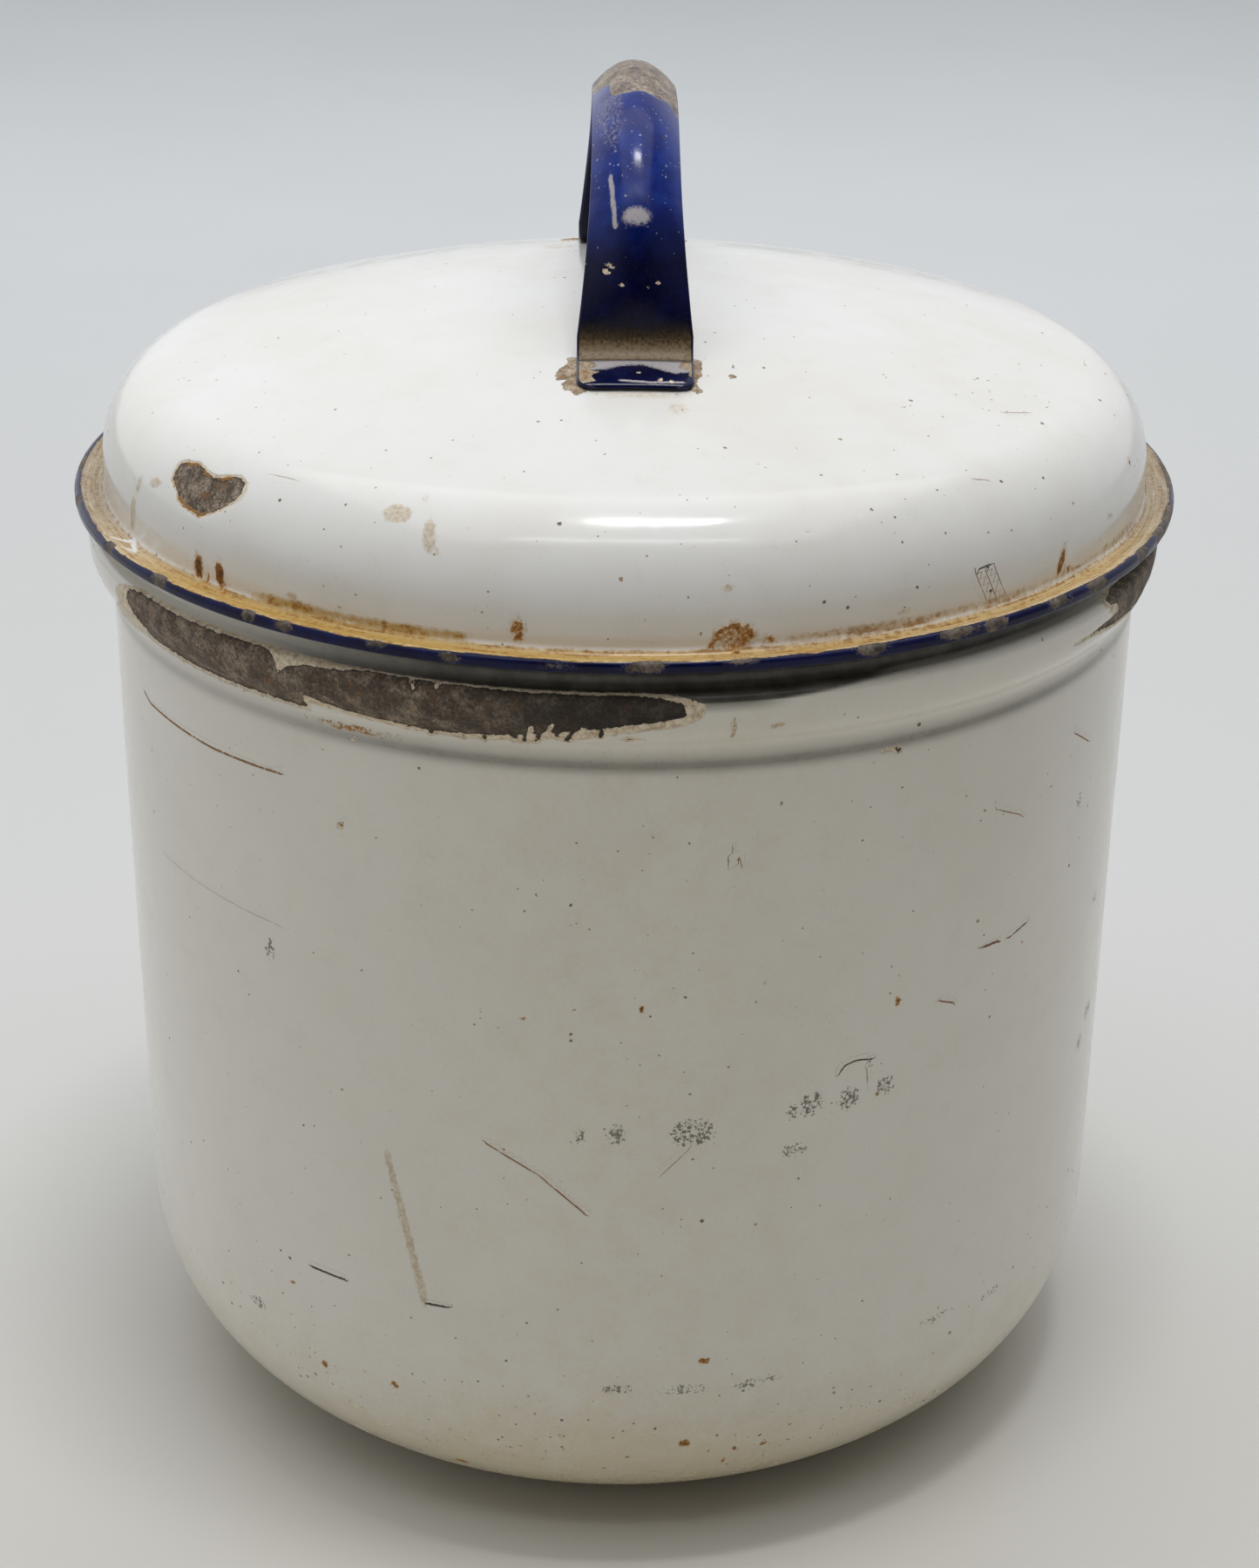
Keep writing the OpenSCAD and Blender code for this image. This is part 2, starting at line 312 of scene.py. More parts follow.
class Canvas:
    """Two coordinates over a sheet, on which marks are drawn; a step across is so many millimetres."""

    def __init__(self, across, up, step=1.0):
        self.across, self.up = across * step, up
        self.scale = np.array([step, 1.0])

    def _window(self, points, margin):
        """Which points of the sheet lie near some corners, and their two coordinates."""
        low, high = np.min(points, axis=0) - margin, np.max(points, axis=0) + margin
        near = (self.across > low[0]) & (self.across < high[0]) & (self.up > low[1]) & (self.up < high[1])
        return near, self.across[near], self.up[near]

    def oval(self, centre, size, tilt=0.0):
        """A filled oval; size is its two half axes, and tilt turns it, in degrees."""
        turned = math.radians(tilt)
        x, y = self.across - centre[0] * self.scale[0], self.up - centre[1]
        a = (x * math.cos(turned) + y * math.sin(turned)) / size[0]
        b = (y * math.cos(turned) - x * math.sin(turned)) / size[1]
        return np.maximum((1 - np.hypot(a, b)) * min(size), FAR)

    def ovals(self, places):
        """Filled ovals together: for each its middle, its two half axes and, if it leans, its tilt."""
        return np.maximum.reduce([self.oval(place[:2], place[2:4], *place[4:]) for place in places])

    def outline(self, points):
        """A filled outline through the given corners."""
        points = np.array(points, float) * self.scale
        result = np.full(len(self.across), FAR)
        near, x, y = self._window(points, -FAR)
        reach, inside = np.full(len(x), -FAR), np.zeros(len(x), bool)
        for a, b in zip(points, np.roll(points, -1, axis=0)):
            reach = np.minimum(reach, segment_distance(x, y, a, b)[0])
            crosses = ((a[1] > y) != (b[1] > y))
            slope = (b[0] - a[0]) / (b[1] - a[1]) if b[1] != a[1] else 0.0
            inside ^= crosses & (x < a[0] + slope * (y - a[1]))
        result[near] = np.where(inside, reach, -reach)
        return result

    def stroke(self, points, half_width):
        """A stroke along a chain of points."""
        points = np.array(points, float) * self.scale
        result = np.full(len(self.across), FAR)
        near, x, y = self._window(points, -FAR)
        reach = np.full(len(x), -FAR)
        for a, b in zip(points[:-1], points[1:]):
            reach = np.minimum(reach, segment_distance(x, y, a, b)[0])
        result[near] = half_width - reach
        return result

    def scratches(self, lines):
        """For hair-thin lines: the nearest line's signed offset, in half widths, and its tone."""
        offset = np.full(len(self.across), NO_SCRATCH)
        tone = np.zeros(len(self.across))
        closest = np.full(len(self.across), SCRATCH_REACH)
        for points, half_width, shade in lines:
            points = np.array(points, float) * self.scale
            near, x, y = self._window(points, 2 * SCRATCH_REACH)
            for a, b in zip(points[:-1], points[1:]):
                reach, side = segment_distance(x, y, a, b)
                wins = reach < closest[near]
                where = np.flatnonzero(near)[wins]
                closest[where] = reach[wins]
                offset[where] = (reach * side)[wins] / half_width
                tone[where] = shade
        return offset, tone


def segment_distance(x, y, a, b):
    """Each point's distance from the segment a-b, and which side of it the point is on."""
    dx, dy = b[0] - a[0], b[1] - a[1]
    share = np.clip(((x - a[0]) * dx + (y - a[1]) * dy) / (dx * dx + dy * dy), 0, 1)
    reach = np.hypot(x - a[0] - share * dx, y - a[1] - share * dy)
    side = np.sign((x - a[0]) * dy - (y - a[1]) * dx)
    return reach, side


def soft(values, low, high):
    """0 below low and 1 above high, with a smooth ramp between."""
    t = np.clip((values - low) / (high - low), 0, 1)
    return t * t * (3 - 2 * t)


# %% Cloudy noise for shapes
LATTICE = 32


def clouds(points, size, seed):
    """Smooth noise from 0 to 1 at points in millimetres, with lumps of about the given size."""
    lattice = np.random.default_rng(seed).random((LATTICE, LATTICE, LATTICE))
    scaled = points / size + 1000
    cell = np.floor(scaled).astype(int)
    part = scaled - cell
    part = part * part * (3 - 2 * part)
    total = np.zeros(len(points))
    for corner in range(8):
        step = np.array([corner & 1, corner >> 1 & 1, corner >> 2 & 1])
        weight = np.prod(np.where(step, part, 1 - part), axis=1)
        index = (cell + step) % LATTICE
        total += weight * lattice[index[:, 0], index[:, 1], index[:, 2]]
    return total


# %% [markdown]
# ## The pot's damage
# The collar took the knocks: a long strip of enamel has come off below the rim, and the layers show like
# a cliff, first white, then a cream ground coat, then dark bare steel. Its lower edge is torn into
# slanting teeth. Places round the jar are in degrees from the front, and heights are in millimetres.

# %% Marks on the pot
PER_DEGREE = math.radians(118.0)

pot = Skin(pot_meridian)
outside = pot.along <= np.sum(np.linalg.norm(np.diff(pot_outside, axis=0), axis=1)) + 0.8
over_top = np.where(pot.height > collar_top_z - 2, np.maximum(0, collar_r - 1.2 - pot.radius), 0)
pot_canvas = Canvas(pot.degrees, np.where(outside, pot.height + over_top, HIDDEN), PER_DEGREE)

left_strip = pot_canvas.outline([
    (-60.5, 209.5), (-59.5, 211.8), (-57, 212.6), (-45, 212.6), (-37, 213), (-35.6, 212), (-35, 208.2),
    (-34.4, 210), (-32, 211.6), (-27, 212.6), (-25, 213.4), (-10, 213), (0, 213), (2.5, 212.4),
    (4.6, 211.4), (5.5, 210.2), (4.9, 208.5), (3, 207.5), (0, 206.8), (-2.5, 205.8), (-5, 205),
    (-9, 203.6), (-12, 202.4), (-16, 201.4), (-20, 201.2), (-24, 202), (-28, 202.8), (-32.5, 204.6),
    (-33.2, 200.4), (-45, 200.2), (-60, 200.2), (-57, 203.5), (-59, 206.5)])
right_strip = pot_canvas.outline([
    (55.6, 212.8), (56.2, 211.4), (58, 210.8), (58.2, 208.6), (54.5, 208), (50.6, 207), (54.5, 207),
    (57, 206), (61, 205.4), (68, 204), (80, 203), (92, 203.5), (97, 206), (98, 210), (94, 213),
    (84, 214.6), (66, 215), (59, 215), (57.4, 213.8)])
rear_strip = pot_canvas.outline([
    (150, 212.5), (158, 213.4), (166, 212.6), (169, 210), (165, 207.6), (157, 207), (152, 208.8)])

# Slits of bare steel between the teeth, and tongues of enamel that still hold.
slits = [
    (-21, 204, -21.8, 201.2), (-19, 203.5, -19.4, 200.6), (-15.8, 204, -16, 200.8),
    (-13.6, 203, -13.9, 200.8), (-10.6, 205, -11, 201.2), (-9.6, 205.5, -10.1, 201),
    (-8.1, 205.5, -8.9, 201.2), (-6.6, 206, -6.9, 203), (-5.2, 205.4, -6, 202), (-2.5, 206, -2.7, 203.8)]
tongues = [
    (-20.8, 213.6, -20.2, 211.2), (-18.4, 213.6, -18, 212.2), (-9.1, 205.4, -9.5, 202.6),
    (-7.2, 206.2, -7.9, 202.6), (-4.2, 205.8, -5, 203.4)]
bare = np.maximum.reduce([left_strip, right_strip, rear_strip])
for d0, z0, d1, z1 in slits:
    bare = np.maximum(bare, pot_canvas.stroke([(d0, z0), (d1, z1)], 0.42))
for d0, z0, d1, z1 in tongues:
    bare = np.minimum(bare, -pot_canvas.stroke([(d0, z0), (d1, z1)], 0.4))

small_chips = [
    (-27.8, 195.9, 0.5, 0.25), (26.5, 194.6, 1.4, 0.3), (27.3, 194.1, 0.5, 0.4), (0.3, 203.2, 0.9, 0.22),
    (9.4, 205.3, 0.25, 0.9), (13.5, 205.4, 0.5, 0.2), (-30, 176, 0.55, 0.5), (50.8, 207.2, 1.6, 0.3)]
bare = np.maximum(bare, pot_canvas.ovals(small_chips))

cream_edge = pot_canvas.outline([
    (-62.8, 210.6), (-60.5, 212), (-57, 213.6), (-37, 214.2), (-34, 213.8), (-20, 213.9), (0, 213.9),
    (3.5, 213), (6, 211.8), (7, 210.2), (6.6, 208.4), (5, 206.6), (2, 205.6), (0, 205), (-3, 203.8),
    (-5.6, 201.6), (-7, 203), (-9, 201), (-12, 200.8), (-16, 200.4), (-21, 200.4), (-25, 201), (-29, 202),
    (-32, 202.6), (-33, 199.8), (-45, 199.4), (-60, 199.2), (-61.5, 206)])
cream_right = pot_canvas.outline([
    (54.4, 213.4), (54.8, 211.6), (57, 210.2), (56.4, 208.8), (50.4, 207.4), (55, 206), (58, 205),
    (68, 203.2), (80, 202.2), (93, 202.6), (99, 205.5), (99, 211), (95, 214), (84, 215.6), (66, 216),
    (57, 215)])
cream = np.maximum.reduce([bare + 0.35, cream_edge, cream_right, rear_strip + 1.1])
tan_wedge = pot_canvas.outline([
    (-60, 206), (-63.5, 210.5), (-63, 206.5), (-68, 202), (-76, 196.4), (-70, 197.2), (-62, 198.8),
    (-56, 199.6)])

# %% [markdown]
# ## Dirt, painted shade, scuffs and scratches on the pot
# Below the chips the wall is dirty, and bands of painted shade lie in the neck under the rim and along the
# foot of the shoulder.
# Small marks are lists of places because each has its own; the rest follows rules: grime gathers towards
# the base, and specks thicken there.

# %% Dirt, painted shade and scratches on the pot
soot_patches = [
    (6.8, 113, 4.6, 3), (-1, 113, 1.8, 2.2), (-4.6, 112.5, 1, 1.6), (19.3, 116.5, 2.4, 2.6),
    (17.2, 115.5, 1, 1.6), (23.6, 116, 2.4, 2.4), (28, 117, 2.2, 2.2), (17.5, 106, 2.4, 1.4),
    (-0.6, 49, 2.6, 0.9), (6.4, 48.4, 4, 0.8), (13, 47.6, 1.8, 1.1), (15.5, 48.6, 2.4, 0.6),
    (37, 50.8, 3.6, 0.5), (46.2, 49, 2.2, 0.45), (-40, 141.5, 1.1, 2.4), (-45, 47.5, 2.4, 1.2),
    (57.5, 164, 1.2, 1.6), (66.5, 132.5, 2, 1), (68, 102, 2.6, 1.8), (65, 96.5, 1.8, 1.4)]
soot_mark = pot_canvas.ovals(soot_patches)

brown_spots = [
    (-29.8, 176, 0.7, 0.4), (-28.2, 174.8, 1, 0.3), (29, 136.6, 0.9, 1.2), (-4.9, 163.2, 0.4, 0.4),
    (-7.2, 158.6, 0.5, 0.4), (-0.8, 141.4, 0.45, 0.45), (-5.4, 141.9, 0.45, 0.3),
    (-10.5, 139.4, 0.6, 0.8), (-13, 136.6, 0.3, 0.3), (1.4, 142.4, 0.8, 1), (29, 142.4, 0.6, 0.6),
    (8.6, 55.6, 1.4, 1), (-28.9, 102.8, 0.4, 0.4), (-35, 40, 1, 1.4), (12.6, 28.6, 0.9, 1),
    (16, 28.8, 0.8, 0.9), (0.6, 28.2, 0.8, 0.5), (11.6, 24, 0.7, 1), (6.8, 32.6, 1.6, 1.4),
    (-19.6, 17.5, 2, 1.2), (-29.4, 42.6, 0.8, 0.5), (-25.6, 41.4, 1, 1.2), (-39, 58.6, 1.2, 0.5),
    (52, 44.5, 0.5, 0.5)]
stain = pot_canvas.ovals(brown_spots)
rust_run = pot_canvas.oval((-28, 198.1), (8, 0.7))

pot_lines = [
    ([(-63, 184.6), (-61.5, 183.4), (-48, 182.9), (-37.4, 183.6)], 0.33, 0.62),
    ([(-36, 65.2), (-31.5, 65.3)], 0.32, 1.0), ([(-21.4, 65.5), (-19, 65.7)], 0.34, 1.0),
    ([(22.4, 122.6), (23, 124.2), (24.4, 124.8), (26.2, 124.2)], 0.22, 0.9),
    ([(-14.4, 108.6), (-9, 102.4), (-4.2, 93.6)], 0.24, 0.55), ([(40.2, 142.2), (42.8, 142)], 0.35, 0.75),
    ([(44.6, 141.4), (47.6, 142.8)], 0.28, 0.7), ([(9.1, 177.4), (9.2, 175.2)], 0.14, 0.7),
    ([(9.6, 177.4), (9.7, 174.8)], 0.14, 0.7), ([(10.1, 177.4), (10.2, 175.4)], 0.14, 0.7),
    ([(10.8, 176), (11, 174)], 0.14, 0.6), ([(55, 182), (58.8, 177.4)], 0.22, 0.55),
    ([(41, 174), (45.2, 170)], 0.2, 0.45), ([(-60, 148.6), (-38.4, 148.2)], 0.15, 0.3),
    ([(3.6, 103), (6.6, 109.4)], 0.14, 0.4), ([(34.6, 133.2), (36.4, 131.6)], 0.24, 0.6),
    ([(25.6, 122), (25.8, 118)], 0.2, 0.4), ([(150, 150), (171, 128)], 0.2, 0.5),
    ([(-150, 96), (-132, 90), (-120, 92)], 0.24, 0.6), ([(104, 60), (121, 71)], 0.2, 0.5)]
pot.layers["scratch"], pot.layers["scratch_tone"] = pot_canvas.scratches(pot_lines)
scrape = pot_canvas.outline([(-26, 102), (-25.4, 102), (-21.2, 66), (-21.6, 64.6), (-22, 66)])

dirt_low = (1 - soft(pot.height, 6, 64)) * 0.8 + 0.3 * np.exp(-(pot.degrees / 26) ** 2)
# Painted shade: the foot of the shoulder and the neck under the rim are darkened in colour below.
shoulder_foot_shade = np.exp(-((pot.height - 196.2) / 1.5) ** 2) * outside
worn_ring = np.where(outside, 3.2 - np.abs(pot.along - (recess_r + 3.2 + foot_ring * 0.5)), FAR)
# How deep the painted shade in the neck and at the shoulder's foot is round the jar: most towards the front
# right.
shaded = soft(pot.degrees, -50, -12)
shaded *= 1 - 0.6 * soft(pot.degrees, 42, 68) - 0.4 * soft(pot.degrees, 120, 175)
droop = 2.2 * soft(pot.degrees, -40, -10) * (1 - soft(pot.degrees, 10, 28))
in_neck = np.where(outside, soft(pot.height + droop, collar_top_z - 0.3, collar_top_z + 0.5), 0)
pot.layers.update(
    steel=np.maximum(bare, worn_ring - 2.6),
    ground=np.maximum(cream, worn_ring - 0.8),
    film=soft(np.maximum(tan_wedge, scrape + 0.3), -0.5, 0.7),
    rust=np.maximum(soft(stain, -0.5, 0.4) * 0.66, soft(rust_run, -1.5, 0.8) * 0.6),
    # A faint amber tint along the shoulder's foot deepens the painted shade there.
    amber=shoulder_foot_shade * 0.16,
    soot=soft(soot_mark, -0.8, 0.8),
    grime=np.where(outside, dirt_low, 0.12 * (1 - soft(pot.height, 0, 30))),
    # Painted shade in the neck and along the shoulder's foot.
    grease=in_neck * (0.08 + 0.90 * shaded) + shoulder_foot_shade * (0.34 + 0.34 * shaded),
    # Painted shade: the bare steel of the front chip is darkened towards its right end.
    burnt=soft(pot.degrees, -24, 0) * (1 - soft(pot.degrees, 20, 40)),
    specks=np.where(outside, 0.14 + 0.86 * (1 - soft(pot.height, 12, 74)), 0.05))
print("bare steel shows on", int((pot.layers["steel"] > 0).sum()), "points of the pot")

# %% [markdown]
# ## The pot's shape
# The enamel is about a third of a millimetre thick, so a chip is a step of that depth, with a ragged floor.
# A pressing is never quite true either: slow dents of a tenth of a millimetre make reflections wander.

# %% Build the pot
pot_points = pot.points()
chip_floor = soft(pot.layers["steel"], -0.15, 0.45) * 0.26 + soft(pot.layers["ground"], -0.3, 0.4) * 0.12
dents = clouds(pot_points, 46.0, 3) * 0.16 + clouds(pot_points, 17.0, 4) * 0.05
ragged = (clouds(pot_points, 2.2, 5) - 0.5) * 0.12 * soft(pot.layers["steel"], 0, 1)
held = np.where(outside, soft(pot.height, 2, 12), 0) * np.where(pot.height > mouth_z - 2.5, 0.15, 1)
pot_body = build("pot_body", pot, -(dents * held + chip_floor * np.where(outside, 1, 0)) + ragged)
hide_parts("pot_shell")
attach(pot_body, "pot")

# %% [markdown]
# ## The lid's damage
# Water lies in the gutter round the lid, so that is where the stain is: gold at the front left, tan on the
# rest. Rust creeps up the wall from it. The heart-shaped chip on the shoulder went down to the steel.
# On the lid a place is an angle and a distance over the sheet from the middle of the crown.

# %% Marks on the lid's wall
lid = Skin(lid_meridian)
inner_length = np.sum(np.linalg.norm(np.diff(lid_face(lid_sheet, 3.0), axis=0), axis=1))
on_top = lid.along > inner_length + lid_sheet / 2
sheet_way = np.where(on_top, lid.along.max() - lid.along, HIDDEN)
wall = Canvas(lid.degrees, sheet_way, PER_DEGREE)

heart = wall.outline([
    (-54.6, 115.6), (-53.4, 114.6), (-51.6, 113.9), (-50, 114.8), (-48.4, 115.2), (-47, 114.9),
    (-45.8, 113.7), (-44.4, 113.3), (-43.4, 114.2), (-43.2, 116.2), (-43.8, 118.4), (-45, 120.4),
    (-46.4, 122), (-48, 123.7), (-50, 123.3), (-51.8, 122.8), (-53, 120.9), (-54.4, 119.2), (-54.7, 117.4)])
pin_chips = [
    (17.4, 114.9, 0.7, 0.45), (46.2, 115.9, 0.5, 0.4), (51, 111.3, 0.5, 0.4), (-31.4, 118.8, 0.45, 0.4),
    (66, 97.4, 0.8, 0.5), (128, 112, 1.6, 0.9), (-112, 116, 1.1, 0.7), (171, 108, 0.8, 0.5)]
lid_bare = np.maximum(heart, wall.ovals(pin_chips) - 0.25)

rust_places = [
    (-48, 134.2, 1.6, 2.6, 0, 0.85), (-44.6, 133.8, 1.5, 2.9, -8, 0.8), (-46.4, 135.6, 0.6, 1.4, 0, 0.7),
    (-43.6, 137.6, 1.5, 3.2, -20, 0.5), (-47, 138, 1.6, 2.4, -14, 0.48), (-10.7, 133.3, 1.6, 2.7, 0, 0.6),
    (-10.9, 137, 1.2, 1.6, 0, 0.42), (8.1, 133.8, 1.2, 1.4, 0, 0.62), (8.7, 132.6, 1.0, 1.0, 0, 0.66),
    (9.7, 132.1, 1.2, 1.0, 0, 0.68), (10.7, 132.7, 1.1, 1.2, 0, 0.68), (11.3, 133.9, 1.0, 1.4, 0, 0.62),
    (7.5, 135.6, 1.2, 1.2, 0, 0.55), (9.6, 134.8, 3.2, 2.6, 0, 0.51), (9.7, 137.4, 0.7, 0.7, 0, 0.95),
    (13.1, 135.2, 1.3, 0.9, 15, 0.66), (48.6, 132.6, 1.2, 3.3, 20, 0.72), (50, 134.8, 1.1, 1.0, 0, 0.62),
    (52, 135.6, 2.6, 0.6, 0, 0.55), (67.4, 121.9, 0.9, 0.7, 0, 0.8), (-29, 133.6, 0.6, 0.4, 0, 0.9),
    (-34.4, 133.7, 0.6, 0.5, 0, 0.8), (44, 135.9, 0.9, 0.5, 0, 0.6), (139, 134, 2.2, 2.6, 0, 0.7),
    (-121, 134.4, 1.6, 1.9, 0, 0.65)]
lid_rust = wall.ovals([place[:5] for place in rust_places])
rust_depth = np.maximum.reduce(
    [soft(wall.ovals([place[:5]]), -0.5, 0.6) * place[5] for place in rust_places])

film_places = [
    (-24, 112.9, 3.4, 2.1, 0), (-20, 116.6, 1.5, 3.8, -12), (-21.8, 108.6, 0.5, 1.6, 0),
    (-18.8, 119.6, 0.5, 1.1, -30), (-57.4, 121.7, 2.8, 1.1, -15), (-61, 124.4, 1.2, 2.4, 15),
    (-62.4, 131.4, 1.7, 4.6, 20), (9, 124.5, 1.1, 0.8, 0), (27.3, 133.2, 2.1, 0.5, 0),
    (-34.6, 133.6, 1.6, 0.8, 0), (59, 128.6, 2, 0.7, 20), (-43.2, 116, 1.2, 2.6, 0)]
lid_film = wall.ovals(film_places)

comb = [([(35.4 + 1.3 * i, 128.4), (37 + 1.3 * i, 134.4)], 0.14, 0.5) for i in range(3)]
lid_lines = comb + [
    ([(35.8, 127.9), (37.5, 127.6)], 0.2, 1.0), ([(39, 110), (40.6, 111)], 0.14, 0.5),
    ([(55, 96), (58, 99)], 0.16, 0.5), ([(-41, 110.6), (-37.6, 110.2)], 0.12, 0.4),
    ([(160, 90), (172, 104)], 0.18, 0.5), ([(-150, 84), (-139, 99)], 0.16, 0.5)]
lid.layers["scratch"], lid.layers["scratch_tone"] = wall.scratches(lid_lines)

# %% Marks round the handle's feet
flat = lid.points()
top = Canvas(np.where(on_top, flat[:, 0], HIDDEN), flat[:, 1])
crust_left = top.outline([
    (-10, -49), (-12.9, -48.4), (-12.6, -51.6), (-14.4, -54), (-15.3, -57), (-14.6, -59), (-12.8, -59.4),
    (-13.8, -60.8), (-13.4, -63), (-11.6, -64.6), (-11, -66.6), (-9.6, -64.8), (-7.4, -63.6), (-8, -58)])
crust_right = top.outline([
    (11, -48.6), (15, -49.4), (14.8, -53), (14.8, -57), (13.6, -58.8), (13.8, -61), (14.6, -63.8),
    (13.4, -65.2), (12.2, -64), (11, -60)])
crust_rear = top.outline([
    (-9, 62), (-12.5, 59), (-16.5, 60.6), (-13.5, 62.4), (-12.4, 65.2), (-8, 66), (4, 66.4), (14.6, 65.4),
    (15.6, 60), (13, 56), (11, 60)])
crust_crumbs = top.ovals([(21, -56.4, 0.8, 0.9), (15.9, -56.5, 0.5, 0.4), (21.3, -51.6, 0.3, 0.5)])
crust_mark = np.maximum.reduce([crust_left, crust_right, crust_rear, crust_crumbs])
foot_film = top.ovals([(2, -65.2, 10.5, 2.4), (9.4, -71.4, 2.4, 2.5), (-16, 46, 4, 5), (0, 66.5, 12, 2.6)])

# %% Stains in the gutter
band = np.where(on_top, soft(sheet_way, 135.2, 137.6), 0)
gold = soft(lid.degrees, -60, -48) * (1 - soft(lid.degrees, 0, 26))
creep = soft(lid.degrees, -43, -38) * (1 - soft(lid.degrees, -17, -13))
creep += 0.75 * soft(lid.degrees, 12, 16) * (1 - soft(lid.degrees, 60, 80))
creep *= soft(sheet_way, 133.2, 135.4) * (1 - soft(sheet_way, 139, 141)) * on_top
halo = np.exp(-(np.maximum(0, -lid_rust) / 1.1) ** 2) * 0.45 * soft(lid_rust, -4, -0.2)
drip = wall.stroke([(-64.6, 141.6), (-62, 137), (-59, 139.4), (-57.4, 141.4)], 0.55)

heart_edge = np.exp(-((heart - 0.25) / 0.5) ** 2) * soft(clouds(flat, 2.6, 17), 0.3, 0.62) * 0.72
stain_depth = np.maximum.reduce([band * (0.85 + 0.15 * gold), creep * 0.78, halo])
lid.layers.update(
    steel=lid_bare,
    ground=np.maximum(lid_bare + 0.1, heart + 0.55),
    crust=crust_mark,
    rust=np.maximum(rust_depth, heart_edge),
    film=np.maximum(soft(lid_film, -0.7, 0.7) * 0.84, soft(foot_film, -1.6, 1.2) * 0.52),
    amber=np.clip(stain_depth - 0.6 * soft(drip, -0.3, 0.3), 0, 1),
    gold=np.clip(gold + creep * 0.8, 0, 1),
    age=soft(np.abs(lid.degrees), 52, 78),
    specks=np.where(on_top, 0.13 + 0.13 * soft(sheet_way, 70, 110), 0.03))

# %% Build the lid
lid_floor = soft(lid_bare, -0.15, 0.45) * 0.24 + soft(lid.layers["ground"], -0.3, 0.4) * 0.08
lid_dents = clouds(flat, 40.0, 13) * 0.16 * soft(np.hypot(flat[:, 0], flat[:, 1]), 4, 30)
lid_dents *= np.where(on_top, 1 - soft(sheet_way, 132, 138), 0)
lid_ragged = (clouds(flat, 1.8, 15) - 0.5) * 0.2 * soft(np.maximum(lid_bare, crust_mark), 0, 0.8)
lid_crust = soft(crust_mark, -0.2, 0.7) * 0.34
rust_bloom = soft(lid_rust, -0.2, 0.9) * 0.12 * clouds(flat, 1.5, 16)
lid_body = build("lid_body", lid, lid_crust + rust_bloom + lid_ragged - lid_dents - lid_floor)
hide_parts("lid_shell")
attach(lid_body, "lid")

# %% [markdown]
# ## The blue rim
# The rim was dipped again in blue. The line where blue meets white wanders, and every bump against a
# shelf has worn a patch of the rim through, to a grey-brown that is neither clean steel nor clean glass.

# %% The rim
rim = Skin(rim_meridian, 1200)
rim_flat = rim.points()
rim_outer_length = np.sum(np.linalg.norm(np.diff(rim_outside, axis=0), axis=1))
rim_shows = rim.along > rim.along.max() - rim_outer_length - 0.7
rim_way = np.where(rim_shows, rim.along.max() - rim.along, 6.0)
rim_canvas = Canvas(rim.degrees, rim_way, PER_DEGREE)
wander = (clouds(rim_flat, 9.0, 21) - 0.5) * 0.7 + (clouds(rim_flat, 2.5, 22) - 0.5) * 0.5
blue_line = (0.9 - 0.9 * soft(-rim.degrees, 60, 74) - 0.5 * soft(rim.degrees, 12, 24)
             - 0.4 * soft(rim.degrees, 120, 170))

worn_places = [
    (-61.4, 2.0, 1.6, 2), (-50.5, 1.9, 2.6, 2), (-37.4, 1.6, 1.6, 1.6), (-33, 2, 3.4, 1.6),
    (-23, 1.5, 2, 0.9), (-16, 2.2, 1.4, 0.7), (-7, 2.1, 2, 0.9), (1.2, 1.9, 2.6, 1), (9.6, 1.3, 2.4, 0.9),
    (22.6, 1.6, 3, 1.3), (31, 1.7, 3.4, 1.5), (36, 2, 3, 1.6), (43.6, 1.8, 3.4, 1.8),
    (50.4, 1.8, 2.8, 1.8), (61, 1.9, 3, 1.8), (68, 1.9, 4, 2.4), (74, 2, 6, 2.4), (86, 1.8, 9, 2.6),
    (104, 1.8, 7, 2.4), (121, 1.9, 5, 2), (140, 1.8, 9, 2.4), (163, 1.8, 6, 2), (-165, 1.8, 8, 2.4),
    (-143, 1.9, 4, 2), (-126, 1.8, 7, 2.4), (-104, 1.8, 5, 2), (-88, 1.9, 6, 2.2), (-76, 1.6, 1.6, 1.6)]
worn = rim_canvas.ovals(worn_places)
worn += (clouds(rim_flat, 5.0, 25) - 0.5) * 1.8 + 0.5 * soft(np.abs(rim.degrees), 40, 70)
rim.layers.update(
    blue=rim_way - blue_line + wander,
    worn=np.where(rim_shows, worn, FAR),
    amber=np.full(len(rim.degrees), 0.85),
    gold=soft(rim.degrees, -60, -48) * (1 - soft(rim.degrees, 0, 26)),
    age=soft(np.abs(rim.degrees), 52, 78),
    specks=np.full(len(rim.degrees), 0.2))
rim_sag = clouds(rim_flat, 14.0, 23) * 0.12 + soft(worn, -0.4, 0.6) * 0.1 * clouds(rim_flat, 1.6, 24)
rim_band = build("rim_band", rim, -rim_sag * rim_shows)
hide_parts("lid_rim")
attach(rim_band, "lid")

# %% [markdown]
# ## The handle
# The handle is one strap, bowed across its width for stiffness and bent into a squarish arch. Its feet
# turn outwards and lie on the crown. It is swept here: a section with round edges travels along the
# strap's middle line, and its width and bow change on the way, flat and wide at the feet.

